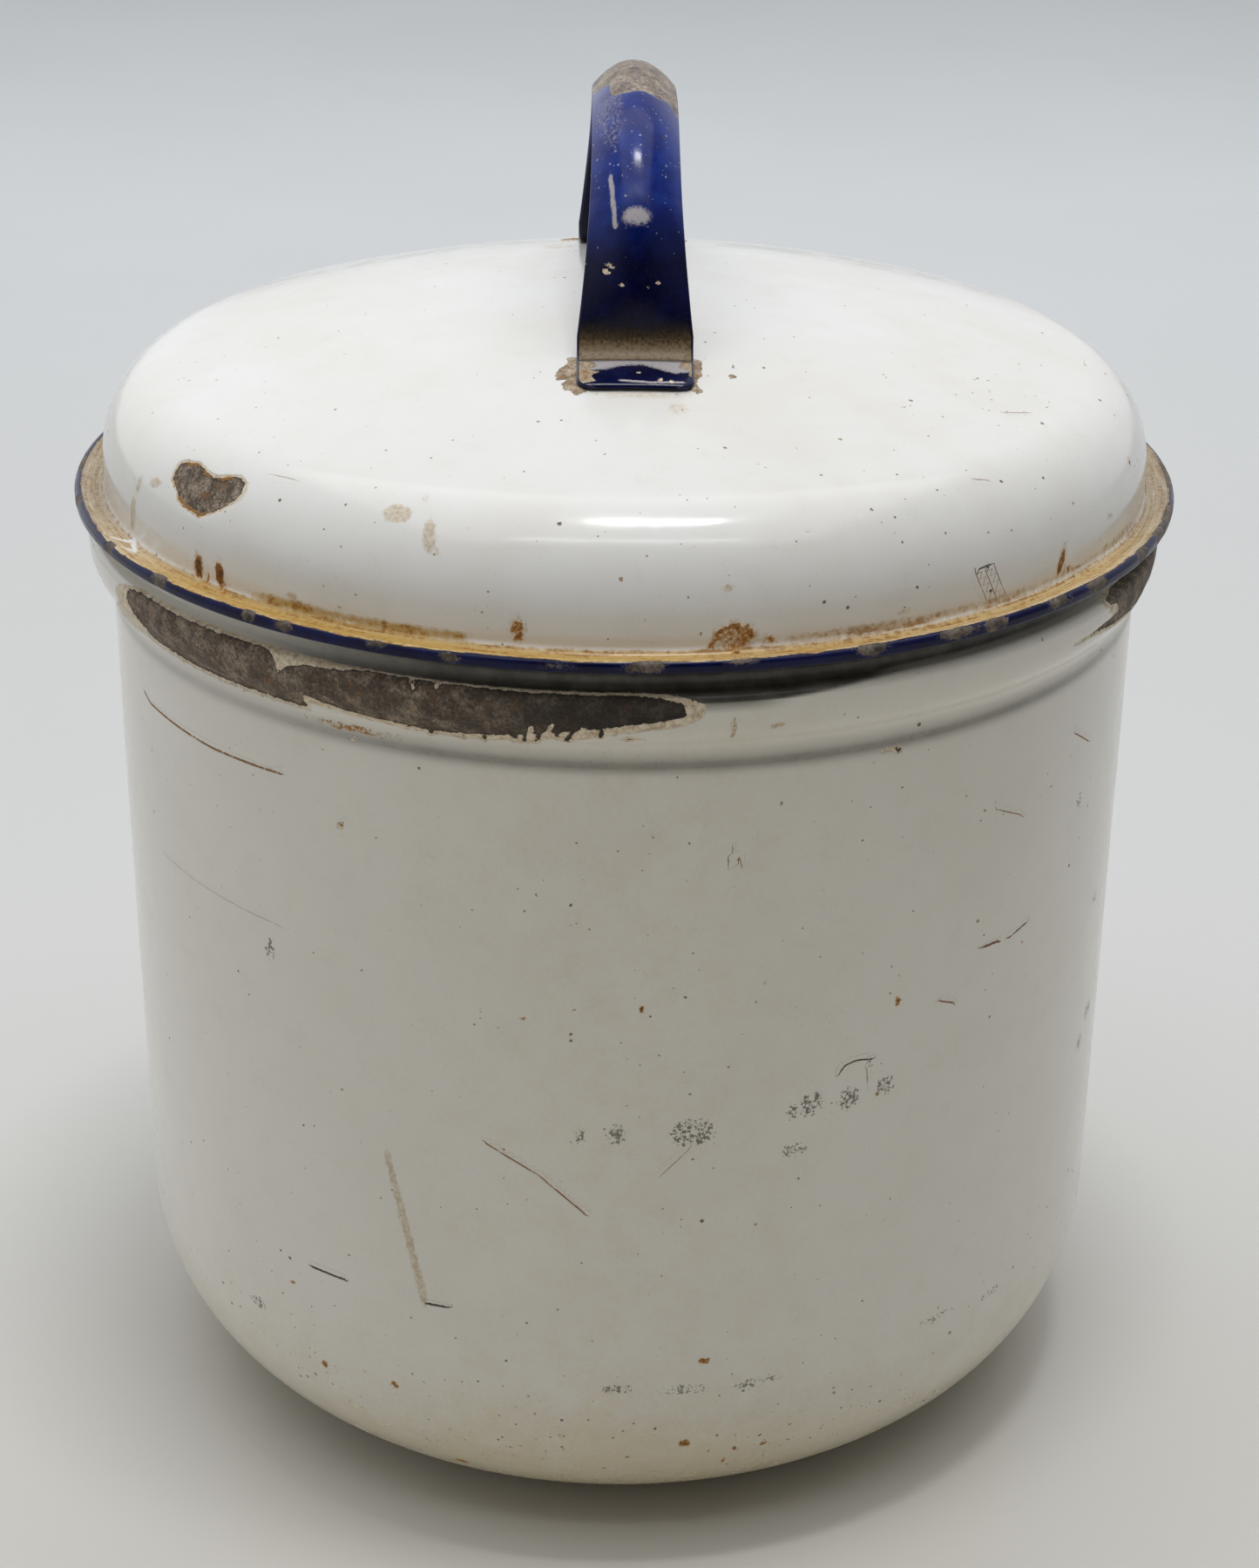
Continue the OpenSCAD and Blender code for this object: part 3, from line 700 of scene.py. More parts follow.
# %% The strap's middle line
strap_t = 1.2
strap_top_w, strap_foot_w = 18.2, 24.0
strap_bow = 5.2
foot_bend = 4.0
tab_length = 11.0
arch_power = 2.3
arch_height = 47.0
leg_y = 50.5
tab_gap = 0.25
handle_x = (handle_low.x + handle_high.x) / 2 / MM
tab_r = crown_bend + tab_gap + strap_t
bend_y = leg_y + foot_bend
foot_bend_z = crown_z + math.sqrt((tab_r + foot_bend) ** 2 - bend_y ** 2)
tab_start = math.asin(bend_y / (tab_r + foot_bend))
tab_end = tab_start + tab_length / tab_r
arch_rise = lid_top + arch_height - foot_bend_z


ARCH_STEPS, BEND_STEPS, TAB_STEPS = 150, 14, 24


def half_strap():
    """Stations from the top of the arch to the tip of the front tab: y, z, facing, share of the rise."""
    stations = []
    for i in range(ARCH_STEPS):
        angle = math.pi / 2 * i / ARCH_STEPS
        c, s = math.sin(angle), math.cos(angle)
        y, z = -leg_y * c ** (2 / arch_power), foot_bend_z + arch_rise * s ** (2 / arch_power)
        facing = math.atan2(s ** (2 - 2 / arch_power) / arch_rise, -c ** (2 - 2 / arch_power) / leg_y)
        stations.append((y, z, facing, s ** (2 / arch_power)))
    for i in range(BEND_STEPS, -1, -1):
        angle = tab_start + (math.pi / 2 - tab_start) * i / BEND_STEPS
        stations.append((-bend_y + foot_bend * math.sin(angle), foot_bend_z - foot_bend * math.cos(angle),
                         math.pi / 2 + angle, 0.0))
    for i in range(1, TAB_STEPS + 1):
        angle = tab_start + (tab_end - tab_start) * i / TAB_STEPS
        stations.append((-tab_r * math.sin(angle), crown_z + tab_r * math.cos(angle),
                         math.pi / 2 + angle, 0.0))
    return np.array(stations)


front = half_strap()
rear = front[:0:-1] * np.array([-1, 1, 1, 1])
rear[:, 2] = math.pi - rear[:, 2]
strap = np.concatenate([rear, front])
hops = np.linalg.norm(np.diff(strap[:, :2], axis=0), axis=1)
run = np.concatenate([[0], np.cumsum(hops)])
run -= run[len(rear)]
print("strap:", len(strap), "stations,", round(run[-1] - run[0], 1), "mm long")

# %% The strap's sections
ACROSS = 44
EDGE = 7


def strap_section(station, tip):
    """One closed section: offsets across and outwards, and how far across each point lies."""
    width = strap_top_w + (strap_foot_w - strap_top_w) * (1 - station[3]) ** 2
    flat_bow = (width / 2) ** 2 / (2 * crown_bend)
    bow = flat_bow + (strap_bow - flat_bow) * min(1, 1.6 * station[3])
    corner = 3.0
    round_off = corner - math.sqrt(corner ** 2 - max(0.0, corner - tip) ** 2) if tip < corner else 0.0
    half = width / 2 - strap_t / 2 - round_off
    share = np.linspace(-1, 1, ACROSS)
    middle = np.stack([half * share, -bow * share ** 2 - strap_t / 2], 1)
    slope = np.stack([np.full(ACROSS, half), -2 * bow * share], 1)
    normal = np.stack([-slope[:, 1], slope[:, 0]], 1) / np.linalg.norm(slope, axis=1)[:, None]
    thickness = strap_t / 2 * math.sqrt(max(0.05, 1 - max(0.0, 1 - tip / 0.5) ** 2))
    outer, inner = middle + normal * thickness, (middle - normal * thickness)[::-1]
    edges = []
    for end, direction in ((-1, 1), (0, -1)):
        start = math.atan2(normal[end][1], normal[end][0])
        angles = [start - math.pi * (i + 1) / (EDGE + 1) for i in range(EDGE)]
        if direction < 0:
            angles = [a + math.pi for a in angles]
        edges.append(middle[end] + thickness * np.array([[math.cos(a), math.sin(a)] for a in angles]))
    return np.concatenate([outer, edges[0], inner, edges[1]])


tips = np.minimum(run - run[0], run[-1] - run)
sections = np.array([strap_section(station, tip) for station, tip in zip(strap, tips)])
ring_size = sections.shape[1]
across = sections[:, :, 0].ravel()
outward = sections[:, :, 1]
lean = handle_x / crown_bend
strap_y = strap[:, 0][:, None] + outward * np.cos(strap[:, 2])[:, None]
strap_z = strap[:, 1][:, None] + outward * np.sin(strap[:, 2])[:, None] - crown_z
strap_points = np.stack([across * math.cos(lean) + strap_z.ravel() * math.sin(lean), strap_y.ravel(),
                         strap_z.ravel() * math.cos(lean) - across * math.sin(lean) + crown_z], 1)
strap_run = np.repeat(run, ring_size)
faces_out = np.tile(np.arange(ring_size) < ACROSS, len(strap))

# %% Wear on the handle
strap_canvas = Canvas(np.where(faces_out, across, across + 500), strap_run)
worn_top = strap_canvas.outline([
    (-4.8, 17.4), (-2, 18.4), (2, 17.6), (4.4, 18.6), (7, 16.6), (8.6, 19.5), (12, 20), (12, -14),
    (6, -15.5), (1, -13.4), (-5, -15), (-12, -10), (-12, 3), (-8, 5), (-5.4, 9), (-5.6, 13)])
pale_oval = strap_canvas.oval((0, 53.2), (3.4, 2.7))
pale_scratch = strap_canvas.stroke([(-5.3, 43.4), (-4.9, 48), (-4.3, 55)], 0.5)
side_scuff = strap_canvas.outline([
    (-8, 16), (-3.4, 17), (-2.6, 24), (-3.4, 34), (-4.8, 38), (-6.6, 33), (-8.4, 25)])
# Real scuffs round the fold, laid on broad and pale so that they also stand in for light the tab reflects:
# partly painted reflection.
fold_scuff_and_sheen = strap_canvas.outline([
    (-12, 81), (12, 81), (12, 88), (8, 89), (5, 87.4), (1.6, 85.4), (-3, 85.8), (-6, 87.4), (-12, 88)])
tab_crust = np.maximum(
    strap_canvas.outline([
        (-13, 80), (-11.2, 80.6), (-10.6, 83), (-8.6, 83.6), (-7.8, 85.4), (-9.2, 87), (-7.4, 88.4),
        (-8.8, 90), (-8, 92.6), (-10.4, 93.4), (-10, 95), (-13, 95)]),
    strap_canvas.outline([
        (13, 79), (11, 80), (9.4, 83.6), (9, 86), (11.2, 87.4), (10.6, 89.4), (12, 91), (13, 92)]))
rear_crust = np.maximum(
    strap_canvas.outline([(-13, -84), (-10, -83), (-5, -88), (-7, -95), (-13, -95)]),
    strap_canvas.outline([(13, -82), (9, -84), (7.4, -90), (8, -95), (13, -95)]))
chip_marks = strap_canvas.ovals([
    (-6, 64.2, 0.8, 0.8), (-5.2, 63.2, 1.2, 0.5, 25), (0.6, 88.6, 0.5, 0.4), (2.4, 67.4, 0.3, 0.3),
    (4.6, 66.4, 0.5, 0.5), (-2.6, 66.8, 0.7, 0.4), (5, 91.6, 0.7, 0.7), (7.3, 92.4, 0.6, 0.8),
    (-1, -40, 0.6, 0.9), (3, -58, 0.5, 0.5), (-4, -66, 0.9, 0.6)])

# Painted highlight: a pale stroke along the tab's lower edge stands in for the light it reflects.
tab_edge_highlight = strap_canvas.stroke([(-3, 92.2), (3, 93), (9.6, 92.6)], 0.5)
leg_specks = soft(strap_run, 14, 24) * (1 - soft(strap_run, 38, 52)) * 0.9

strap_layers = {
    "worn": worn_top,
    "ground": chip_marks,
    "crust": np.maximum(tab_crust, rear_crust),
    "pale": np.maximum.reduce([soft(pale_oval, -1.0, 1.6) * (1 - 0.6 * soft(strap_run, 52.5, 56)),
                               soft(pale_scratch, -0.3, 0.2) * 0.9, soft(fold_scuff_and_sheen, -1.2, 1.2) * 0.92,
                               soft(side_scuff, -2.5, 1.0) * 0.44, soft(tab_edge_highlight, -0.3, 0.3)]),
    "nicks": soft(strap_run, 14, 19) * (1 - soft(strap_run, 40, 62)) * faces_out + 0.06,
    # Painted shade: the blue darkens down the legs towards the feet.
    "shade": soft(np.abs(strap_run), 44, 64),
    "amber": soft(np.abs(strap_run), 70, 80.5) * (1 - soft(np.abs(strap_run), 82, 84.5)) * faces_out,
    "specks": np.where(strap_run > 0, leg_specks, 0.4) + 0.12,
    "blue": np.full(len(across), 5.0),
}

# %% Build the handle
ring = np.arange(ring_size)
following = (ring + 1) % ring_size
quads = np.concatenate([np.stack([i * ring_size + ring, (i + 1) * ring_size + ring,
                                  (i + 1) * ring_size + following, i * ring_size + following], 1)
                        for i in range(len(strap) - 1)])
last = (len(strap) - 1) * ring_size
centres = np.stack([strap_points[:ring_size].mean(0), strap_points[last:].mean(0)])
count = len(strap_points)
caps = [np.stack([np.full(ring_size, count), ring, following], 1),
        np.stack([np.full(ring_size, count + 1), last + following, last + ring], 1)]
hollow = soft(worn_top, -0.3, 0.8) * (0.1 + 0.12 * clouds(strap_points, 1.6, 31))
hollow += clouds(strap_points, 9, 32) * 0.1
hollow += soft(chip_marks, -0.2, 0.3) * 0.15
facing = np.repeat(strap[:, 2], ring_size)
strap_points[:, 1] -= hollow * np.cos(facing) * faces_out
strap_points[:, 2] -= hollow * np.sin(facing) * faces_out
all_points = np.concatenate([strap_points, centres])
for layer, values in strap_layers.items():
    strap_layers[layer] = np.concatenate([values, values[:1], values[-1:]])
handle_strap = make_mesh("handle_strap", all_points, [quads] + caps, strap_layers)
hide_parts("lid_handle")
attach(handle_strap, "lid")

# %% [markdown]
# ## A small language for finishes
# Shader nodes are easier to read as sums. `Field` wraps a socket, and each sum, product or difference adds
# one Math node. `Finish` owns a material: it makes any other node and keeps the coordinates in millimetres,
# so a noise of size 3 has lumps three millimetres wide.

# %% Fields
class Field:
    """A number or colour that varies over the surface."""

    def __init__(self, finish, socket):
        self.finish, self.socket = finish, socket

    def _math(self, operation, *values):
        return self.finish.node("ShaderNodeMath", {"operation": operation}, dict(enumerate(values)))

    def __add__(self, other):
        return self._math("ADD", self, other)

    def __sub__(self, other):
        return self._math("SUBTRACT", self, other)

    def __rsub__(self, other):
        return self._math("SUBTRACT", other, self)

    def __mul__(self, other):
        return self._math("MULTIPLY", self, other)

    __radd__ = __add__
    __rmul__ = __mul__

    def most(self, other):
        return self._math("MAXIMUM", self, other)

    def size(self):
        return self._math("ABSOLUTE", self)

    def rise(self, low, high):
        """0 below low and 1 above high, with a smooth ramp between."""
        return self.finish.node("ShaderNodeMapRange", {"interpolation_type": "SMOOTHSTEP"},
                                {0: self, 1: low, 2: high, 3: 0.0, 4: 1.0})


# %% Finishes
class Finish:
    """The nodes of one material, or of the world."""

    def __init__(self, owner):
        owner.use_nodes = True
        self.owner, self.tree = owner, owner.node_tree
        self.tree.nodes.clear()

    def node(self, kind, settings=None, sockets=None, output=0):
        """Add a node: its settings first, then its sockets' values or links; returns one output."""
        made = self.tree.nodes.new(kind)
        for key, value in (settings or {}).items():
            if key == "stops":
                stops = made.color_ramp.elements
                while len(stops) < len(value):
                    stops.new(1.0)
                for stop, (position, shade) in zip(stops, value):
                    stop.position, stop.color = position, (*shade, 1.0)
            else:
                setattr(made, key, value)
        for key, value in (sockets or {}).items():
            if isinstance(value, Field):
                self.tree.links.new(value.socket, made.inputs[key])
            else:
                made.inputs[key].default_value = value
        return Field(self, made.outputs[output]) if made.outputs else None

    def vector(self, operation, sockets, output=0):
        """A Vector Math node."""
        return self.node("ShaderNodeVectorMath", {"operation": operation}, sockets, output)

    def part(self, vector, axis):
        """One axis of a vector, or one channel of a colour."""
        return self.node("ShaderNodeSeparateXYZ", {}, {0: vector}, axis)

    def layer(self, name):
        """A number that the mesh carries at each point."""
        return self.node("ShaderNodeAttribute", {"attribute_name": name}, output="Fac")

    def noise(self, size, detail=2.0, rough=0.5, place=None):
        """Noise round 0.5 with lumps of the given size in millimetres."""
        return self.node("ShaderNodeTexNoise", {}, {
            "Vector": place or self.place, "Scale": 1 / size, "Detail": detail, "Roughness": rough})

    def dots(self, spacing, radius, share):
        """Round specks: one in each cell, in the given share of cells; up to radius millimetres."""
        sockets = {"Vector": self.place, "Scale": 1 / spacing}
        reach = self.node("ShaderNodeTexVoronoi", {}, sockets, "Distance") * spacing
        chance = self.node("ShaderNodeTexVoronoi", {}, sockets, "Color")
        ragged = (self.noise(radius * 0.7, 2) - 0.5) * (radius * 1.2)
        body = (self.part(chance, "Y") * radius * 0.8 + radius * 0.2 + ragged - reach).rise(-0.03, 0.05)
        return body * (share - self.part(chance, "X")).rise(0.0, 0.02)

    def mix(self, factor, first, second, blend="MIX"):
        """A colour part of the way from the first to the second."""
        shades = {6: first if isinstance(first, Field) else (*first, 1.0),
                  7: second if isinstance(second, Field) else (*second, 1.0)}
        return self.node("ShaderNodeMix", {"data_type": "RGBA", "blend_type": blend},
                         {0: factor, **shades}, 2)

    def tint(self, factor, colour, shade):
        """A colour multiplied by a shade, as a clear stain does."""
        return self.mix(factor, colour, shade, "MULTIPLY")

    def ramp(self, factor, *stops):
        """A colour looked up along stops."""
        return self.node("ShaderNodeValToRGB", {"stops": stops}, {0: factor})


def surface(name):
    """A new material's nodes, with each point's place in millimetres."""
    finish = Finish(bpy.data.materials.new(name))
    place = finish.node("ShaderNodeTexCoord", output="Object")
    finish.place = finish.vector("SCALE", {0: place, "Scale": 1 / MM})
    return finish


# %% A finish built coat by coat
class Look:
    """What a surface shows so far: colour, roughness and height in millimetres."""

    def __init__(self, finish, colour, roughness, height):
        self.finish, self.colour, self.roughness, self.height = finish, colour, roughness, height

    def cover(self, mask, colour, roughness, height=None):
        """Lay something over the surface where the mask is 1."""
        self.colour = self.finish.mix(mask, self.colour, colour)
        self.roughness = self.roughness + (roughness - self.roughness) * mask
        if height is not None:
            self.height = self.height + (height - self.height) * mask

    def done(self, metallic=0.0, specular=0.5):
        """Join the coats to the shader."""
        bump = self.finish.node("ShaderNodeBump", {},
                                {"Height": self.height, "Distance": MM, "Strength": 1.0})
        shader = self.finish.node("ShaderNodeBsdfPrincipled", {}, {
            "Base Color": self.colour, "Roughness": self.roughness, "Metallic": metallic,
            "Specular IOR Level": specular, "Normal": bump})
        self.finish.node("ShaderNodeOutputMaterial", {}, {"Surface": shader})
        return self.finish.owner


# %% [markdown]
# ## Enamel and what happens to it
# Enamel is glass: smooth, faintly rippled, with pinholes and iron specks. Each kind of damage is a function
# that adds a coat to the look, in the order in which it happened to the jar: stains, dirt, scratches, then
# the chips that cut through everything, then the rust that grew out of them.

# %% Clean white enamel
COOL_WHITE = (0.80, 0.80, 0.785)
WARM_WHITE = (0.775, 0.755, 0.70)
IVORY = (0.72, 0.69, 0.62)


def white_enamel(finish, white):
    """White glass with a faint ripple."""
    slow = finish.noise(38, 3, 0.6)
    colour = finish.mix(slow.rise(0.35, 0.75) * 0.5, white, IVORY)
    dust = finish.noise(0.5, 3, 0.6) * finish.noise(7, 2)
    colour = finish.mix(dust.rise(0.26, 0.5) * 0.10, colour, (0.35, 0.33, 0.29))
    roughness = finish.noise(11, 3, 0.65).rise(0.35, 0.8) * 0.10 + 0.13
    ripple = finish.noise(2.6, 2, 0.5) * 0.010 + finish.noise(0.7, 1) * 0.0016
    return Look(finish, colour, roughness, ripple)


# %% Stains and dirt
def amber_stain(finish, look):
    """Water stain, gold or tan, drawn out into fine streaks round the jar, as a wiping cloth leaves it."""
    level = finish.vector("MULTIPLY", {0: finish.place, 1: (1, 1, 0)})
    radius = finish.vector("LENGTH", {0: level}, "Value")
    rings = finish.node("ShaderNodeCombineXYZ", {}, {2: radius * 2.4})
    aim = finish.vector("NORMALIZE", {0: level})
    round_place = finish.vector("MULTIPLY_ADD", {0: aim, 1: (9.0, 9.0, 0.0), 2: rings})
    streaks = finish.noise(1.0, 4, 0.6, round_place) * 0.55 + finish.noise(1.3, 4, 0.65) * 0.45
    depth = finish.layer("amber") + (streaks - 0.5) * 1.5
    tone = finish.mix(finish.layer("gold"), (0.74, 0.56, 0.31), (0.66, 0.44, 0.14))
    tone = finish.tint(streaks.rise(0.50, 0.57) * 0.9, tone, (0.62, 0.44, 0.24))
    tone = finish.tint(finish.layer("age"), tone, (0.60, 0.60, 0.62))
    mask = depth.rise(0.3, 0.85) * finish.layer("amber").rise(0.02, 0.25)
    look.colour = finish.tint(mask, look.colour, tone)
    look.roughness = look.roughness + mask * 0.14
    look.height = look.height + mask * streaks * 0.03


def grime(finish, look):
    """Kitchen film that thickens towards the base."""
    patchy = finish.noise(9, 4, 0.65) * 0.6 + finish.noise(1.3, 3, 0.6) * 0.4
    mask = (finish.layer("grime") * 0.75 + (patchy - 0.5) * 1.1).rise(0.0, 1.0) * 0.8
    look.colour = finish.tint(mask, look.colour, (0.84, 0.73, 0.46))
    look.roughness = look.roughness + mask * 0.16


def grease(finish, look):
    """Painted shade: dark colour in the neck under the rim and along the foot of the shoulder, standing in
    for shadow.
    """
    mask = finish.layer("grease") * (finish.noise(5, 4, 0.6).rise(0.2, 0.7) * 0.12 + 0.88)
    look.colour = finish.mix(mask, look.colour, (0.040, 0.037, 0.028))
    look.roughness = look.roughness + mask * 0.2


def soot(finish, look):
    """Dark smudges, made of fine grains."""
    grains = finish.noise(0.8, 3, 0.75)
    mask = (grains + finish.layer("soot") * 0.11 - 0.59).rise(0.0, 0.04) * 0.85
    mask = mask * finish.layer("soot").rise(0.02, 0.3)
    look.colour = finish.mix(mask, look.colour, (0.085, 0.072, 0.052))
    look.roughness = look.roughness + mask * 0.3


def dry_film(finish, look):
    """A dull tan film with a grainy edge."""
    grains = finish.noise(0.9, 4, 0.7)
    mask = (finish.layer("film") + (grains - 0.5) * 1.3).rise(0.3, 0.75) * 0.8
    tone = finish.ramp(finish.noise(1.1, 3, 0.7), (0.3, (0.42, 0.30, 0.17)), (0.52, (0.60, 0.50, 0.36)),
                       (0.7, (0.72, 0.66, 0.54)))
    look.cover(mask * finish.layer("film").rise(0.02, 0.2), tone, 0.5, look.height + 0.015)


def pinholes(finish, look):
    """Dark iron specks and pinholes, a few large and many small."""
    share = finish.layer("specks")
    mask = finish.dots(4.6, 0.44, share * 0.34).most(finish.dots(2.3, 0.25, share * 0.32))
    look.cover(mask * 0.9, (0.10, 0.07, 0.045), 0.55, look.height - 0.05)


def flecks(finish, look):
    """Brown flecks in loose swarms, thickest where the specks are."""
    swarm = finish.noise(11, 3, 0.65).rise(0.42, 0.58)
    share = finish.layer("specks") * swarm
    mask = finish.dots(2.3, 0.50, share * 0.5).most(finish.dots(1.3, 0.30, share * 0.6))
    tone = finish.mix(finish.noise(3, 2).rise(0.4, 0.6), (0.30, 0.19, 0.075), (0.10, 0.065, 0.03))
    look.cover(mask * 0.85, tone, 0.6, look.height + 0.01)


def scratches(finish, look):
    """Hair-thin scratches that skip where the glass was hard."""
    offset = finish.layer("scratch") + (finish.noise(1.2, 3, 0.6) - 0.5) * 1.2
    mask = (1 - offset.size()).rise(-0.2, 0.5) * finish.layer("scratch_tone")
    mask = mask * (finish.noise(2.4, 3, 0.7).rise(0.3, 0.52) * 0.6 + 0.4)
    darkness = finish.layer("scratch_tone").rise(0.62, 0.9)
    tone = finish.mix(darkness, (0.27, 0.125, 0.04), (0.08, 0.062, 0.045))
    look.cover(mask.rise(0.0, 0.6), tone, 0.6, look.height - 0.03)


# %% Chips down to the steel
def torn(finish, layer, reach=1.0):
    """A layer's distance with a ragged edge: slow wander, and a fine grain that crumbles."""
    wander = (finish.noise(1.7, 3, 0.6) - 0.5) * 1.1
    crumbs = (finish.noise(0.34, 2, 0.6) - 0.5) * 0.5
    return finish.layer(layer) + (wander + crumbs) * reach


def ground_coat(finish, look):
    """The cream ground coat that shows round a chip; the dark line where it broke is drawn with the bare
    steel.
    """
    edge = torn(finish, "ground", 1.25)
    tone = finish.ramp(finish.noise(1.2, 4, 0.7), (0.30, (0.40, 0.29, 0.18)), (0.46, (0.64, 0.52, 0.37)),
                       (0.62, (0.80, 0.72, 0.58)))
    look.cover(edge.rise(-0.06, 0.08), tone, 0.55, finish.noise(0.8, 3, 0.7) * 0.05 - 0.12)


def bare_steel(finish, look, crumbs=0.6):
    """Steel that lost its glass: dark, granular, freckled with old rust and crumbs of ground coat; darkened
    with painted shade on the pot's front chip.
    """
    edge = torn(finish, "steel")
    grain = finish.noise(0.75, 4, 0.72) * 0.65 + finish.noise(4.5, 3, 0.6) * 0.35
    tone = finish.ramp(grain, (0.34, (0.036, 0.026, 0.018)), (0.47, (0.085, 0.062, 0.042)),
                       (0.56, (0.155, 0.118, 0.082)), (0.68, (0.36, 0.29, 0.21)))
    rusty = finish.noise(3.4, 3, 0.7).rise(0.54, 0.70) * finish.noise(0.6, 2).rise(0.35, 0.6)
    tone = finish.mix(rusty * 0.75, tone, (0.26, 0.11, 0.032))
    pale = finish.noise(4.5, 3, 0.7).rise(0.46, 0.60) * finish.noise(0.7, 3, 0.75).rise(0.42, 0.60)
    tone = finish.mix(pale * crumbs, tone, (0.38, 0.30, 0.23))
    # Painted shade: the steel is darkened where the pot's front chip lies in shade.
    tone = finish.tint(finish.layer("burnt"), tone, (0.22, 0.21, 0.20))
    lip = edge.rise(-0.1, 0.1) * (1 - edge.rise(0.16, 0.42))
    tone = finish.mix(lip * 0.7, tone, (0.020, 0.015, 0.012))
    look.cover(edge.rise(-0.05, 0.07), tone, 0.72, grain * 0.16 - 0.3)


def rust(finish, look):
    """Rust that crept out over the glass, dark in the middle and orange at the edge."""
    grain = finish.noise(0.9, 4, 0.7)
    depth = finish.layer("rust") + (grain - 0.5) * 1.2
    tone = finish.ramp(depth, (0.40, (0.58, 0.34, 0.11)), (0.58, (0.42, 0.195, 0.040)),
                       (0.76, (0.20, 0.080, 0.018)), (0.95, (0.065, 0.030, 0.014)))
    mask = depth.rise(0.34, 0.58) * finish.layer("rust").rise(0.02, 0.15)
    look.cover(mask, tone, 0.78, finish.noise(0.5, 3, 0.7) * 0.09 + 0.02)


def crust(finish, look):
    """Grey-tan crust that has built up against the handle's feet."""
    edge = torn(finish, "crust", 1.5)
    grain = finish.noise(0.7, 4, 0.75) * 0.6 + finish.noise(2.4, 3) * 0.4
    tone = finish.ramp(grain, (0.34, (0.11, 0.070, 0.040)), (0.46, (0.28, 0.205, 0.13)),
                       (0.56, (0.44, 0.36, 0.26)), (0.68, (0.64, 0.57, 0.47)))
    tone = finish.mix(finish.noise(2.0, 2).rise(0.58, 0.68) * 0.7, tone, (0.28, 0.12, 0.035))
    look.cover(edge.rise(-0.05, 0.08), tone, 0.85, grain * 0.3)


# %% [markdown]
# ## Cobalt blue
# The blue enamel is nearly black in the shade and shows its colour only where light grazes it. Its wear
# is a different thing from a chip: rubbed glass turns a chalky grey, then the steel shines through.

# %% Cobalt enamel and its wear
def cobalt(finish, look, edge, deep, light):
    """Blue glass over the white, where edge is 1; its tone drifts from deep to light."""
    slow = finish.noise(6, 3, 0.6)
    tone = finish.mix(slow.rise(0.35, 0.7), deep, light)
    tone = finish.mix(finish.noise(0.6, 3, 0.7).rise(0.55, 0.75) * 0.16, tone, (0.05, 0.055, 0.11))
    ripple = finish.noise(1.9, 2) * 0.014 + finish.noise(0.5, 2) * 0.004
    look.cover(edge, tone, finish.noise(5, 3, 0.6).rise(0.3, 0.8) * 0.16 + 0.13, ripple)


def rubbed(finish, look, depth, reach):
    """Where hands and shelves rubbed the blue away: grey-brown, mottled, still a little blue."""
    edge = torn(finish, "worn", reach)
    grain = finish.noise(0.8, 4, 0.72) * 0.55 + finish.noise(3.6, 3, 0.6) * 0.45
    tone = finish.ramp(grain, (0.36, (0.070, 0.057, 0.050)), (0.47, (0.20, 0.158, 0.125)),
                       (0.56, (0.34, 0.285, 0.23)), (0.68, (0.56, 0.50, 0.43)))
    tone = finish.tint(depth, tone, (0.30, 0.285, 0.275))
    tone = finish.mix(finish.noise(1.4, 3, 0.7).rise(0.56, 0.66) * 0.8, tone, (0.035, 0.038, 0.085))
    halo = edge.rise(-0.7, 0.2)
    look.cover(halo * finish.noise(0.5, 3, 0.7).rise(0.45, 0.6) * 0.6, (0.10, 0.10, 0.15), 0.5)
    look.cover(edge.rise(-0.05, 0.12), tone, 0.5, grain * 0.08 - 0.09)


def chalky(finish, look):
    """Chalky scuffs, pale and dull; one pale stroke on the handle's tab is a painted highlight."""
    grains = finish.noise(0.7, 4, 0.72)
    mask = (finish.layer("pale") + (grains - 0.5) * 1.2).rise(0.3, 0.95) * 0.8
    mask = mask * finish.layer("pale").rise(0.02, 0.2)
    look.cover(mask, (0.50, 0.47, 0.47), 0.55)


def nicks(finish, look):
    """Tiny pale nicks where rings and pans have tapped the handle."""
    share = finish.layer("nicks")
    mask = finish.dots(1.7, 0.3, share * 0.7).most(finish.dots(0.9, 0.16, share * 0.6))
    look.cover(mask * 0.7, (0.34, 0.38, 0.50), 0.45)


# %% Finish the pieces
def dress(piece, material):
    """Give a piece its one material."""
    piece.data.materials.clear()
    piece.data.materials.append(material)


def lay(finish, look, *coats):
    """Lay coats over a look, first to last."""
    for coat in coats:
        coat(finish, look)


pot_finish = surface("white_enamel_pot")
pot_look = white_enamel(pot_finish, WARM_WHITE)
lay(pot_finish, pot_look, grime, grease, soot, amber_stain, dry_film, pinholes, flecks, scratches,
    ground_coat, bare_steel, rust)
dress(pot_body, pot_look.done())

lid_finish = surface("white_enamel_lid")
lid_look = white_enamel(lid_finish, COOL_WHITE)
lay(lid_finish, lid_look, amber_stain, dry_film, pinholes, flecks, scratches, ground_coat)
bare_steel(lid_finish, lid_look, 0.9)
lay(lid_finish, lid_look, rust, crust)
dress(lid_body, lid_look.done())

rim_finish = surface("blue_enamel_rim")
rim_look = white_enamel(rim_finish, COOL_WHITE)
amber_stain(rim_finish, rim_look)
blue_edge = rim_finish.layer("blue") + (rim_finish.noise(0.6, 3, 0.6) - 0.5) * 0.5
# Painted shade: the rim's blue is much darker than the handle's, standing in for the shade on its outer
# face.
cobalt(rim_finish, rim_look, blue_edge.rise(-0.08, 0.1), (0.0025, 0.003, 0.028), (0.005, 0.007, 0.060))
pinholes(rim_finish, rim_look)
rubbed(rim_finish, rim_look, 0.8, 1.7)
dress(rim_band, rim_look.done(specular=0.22))

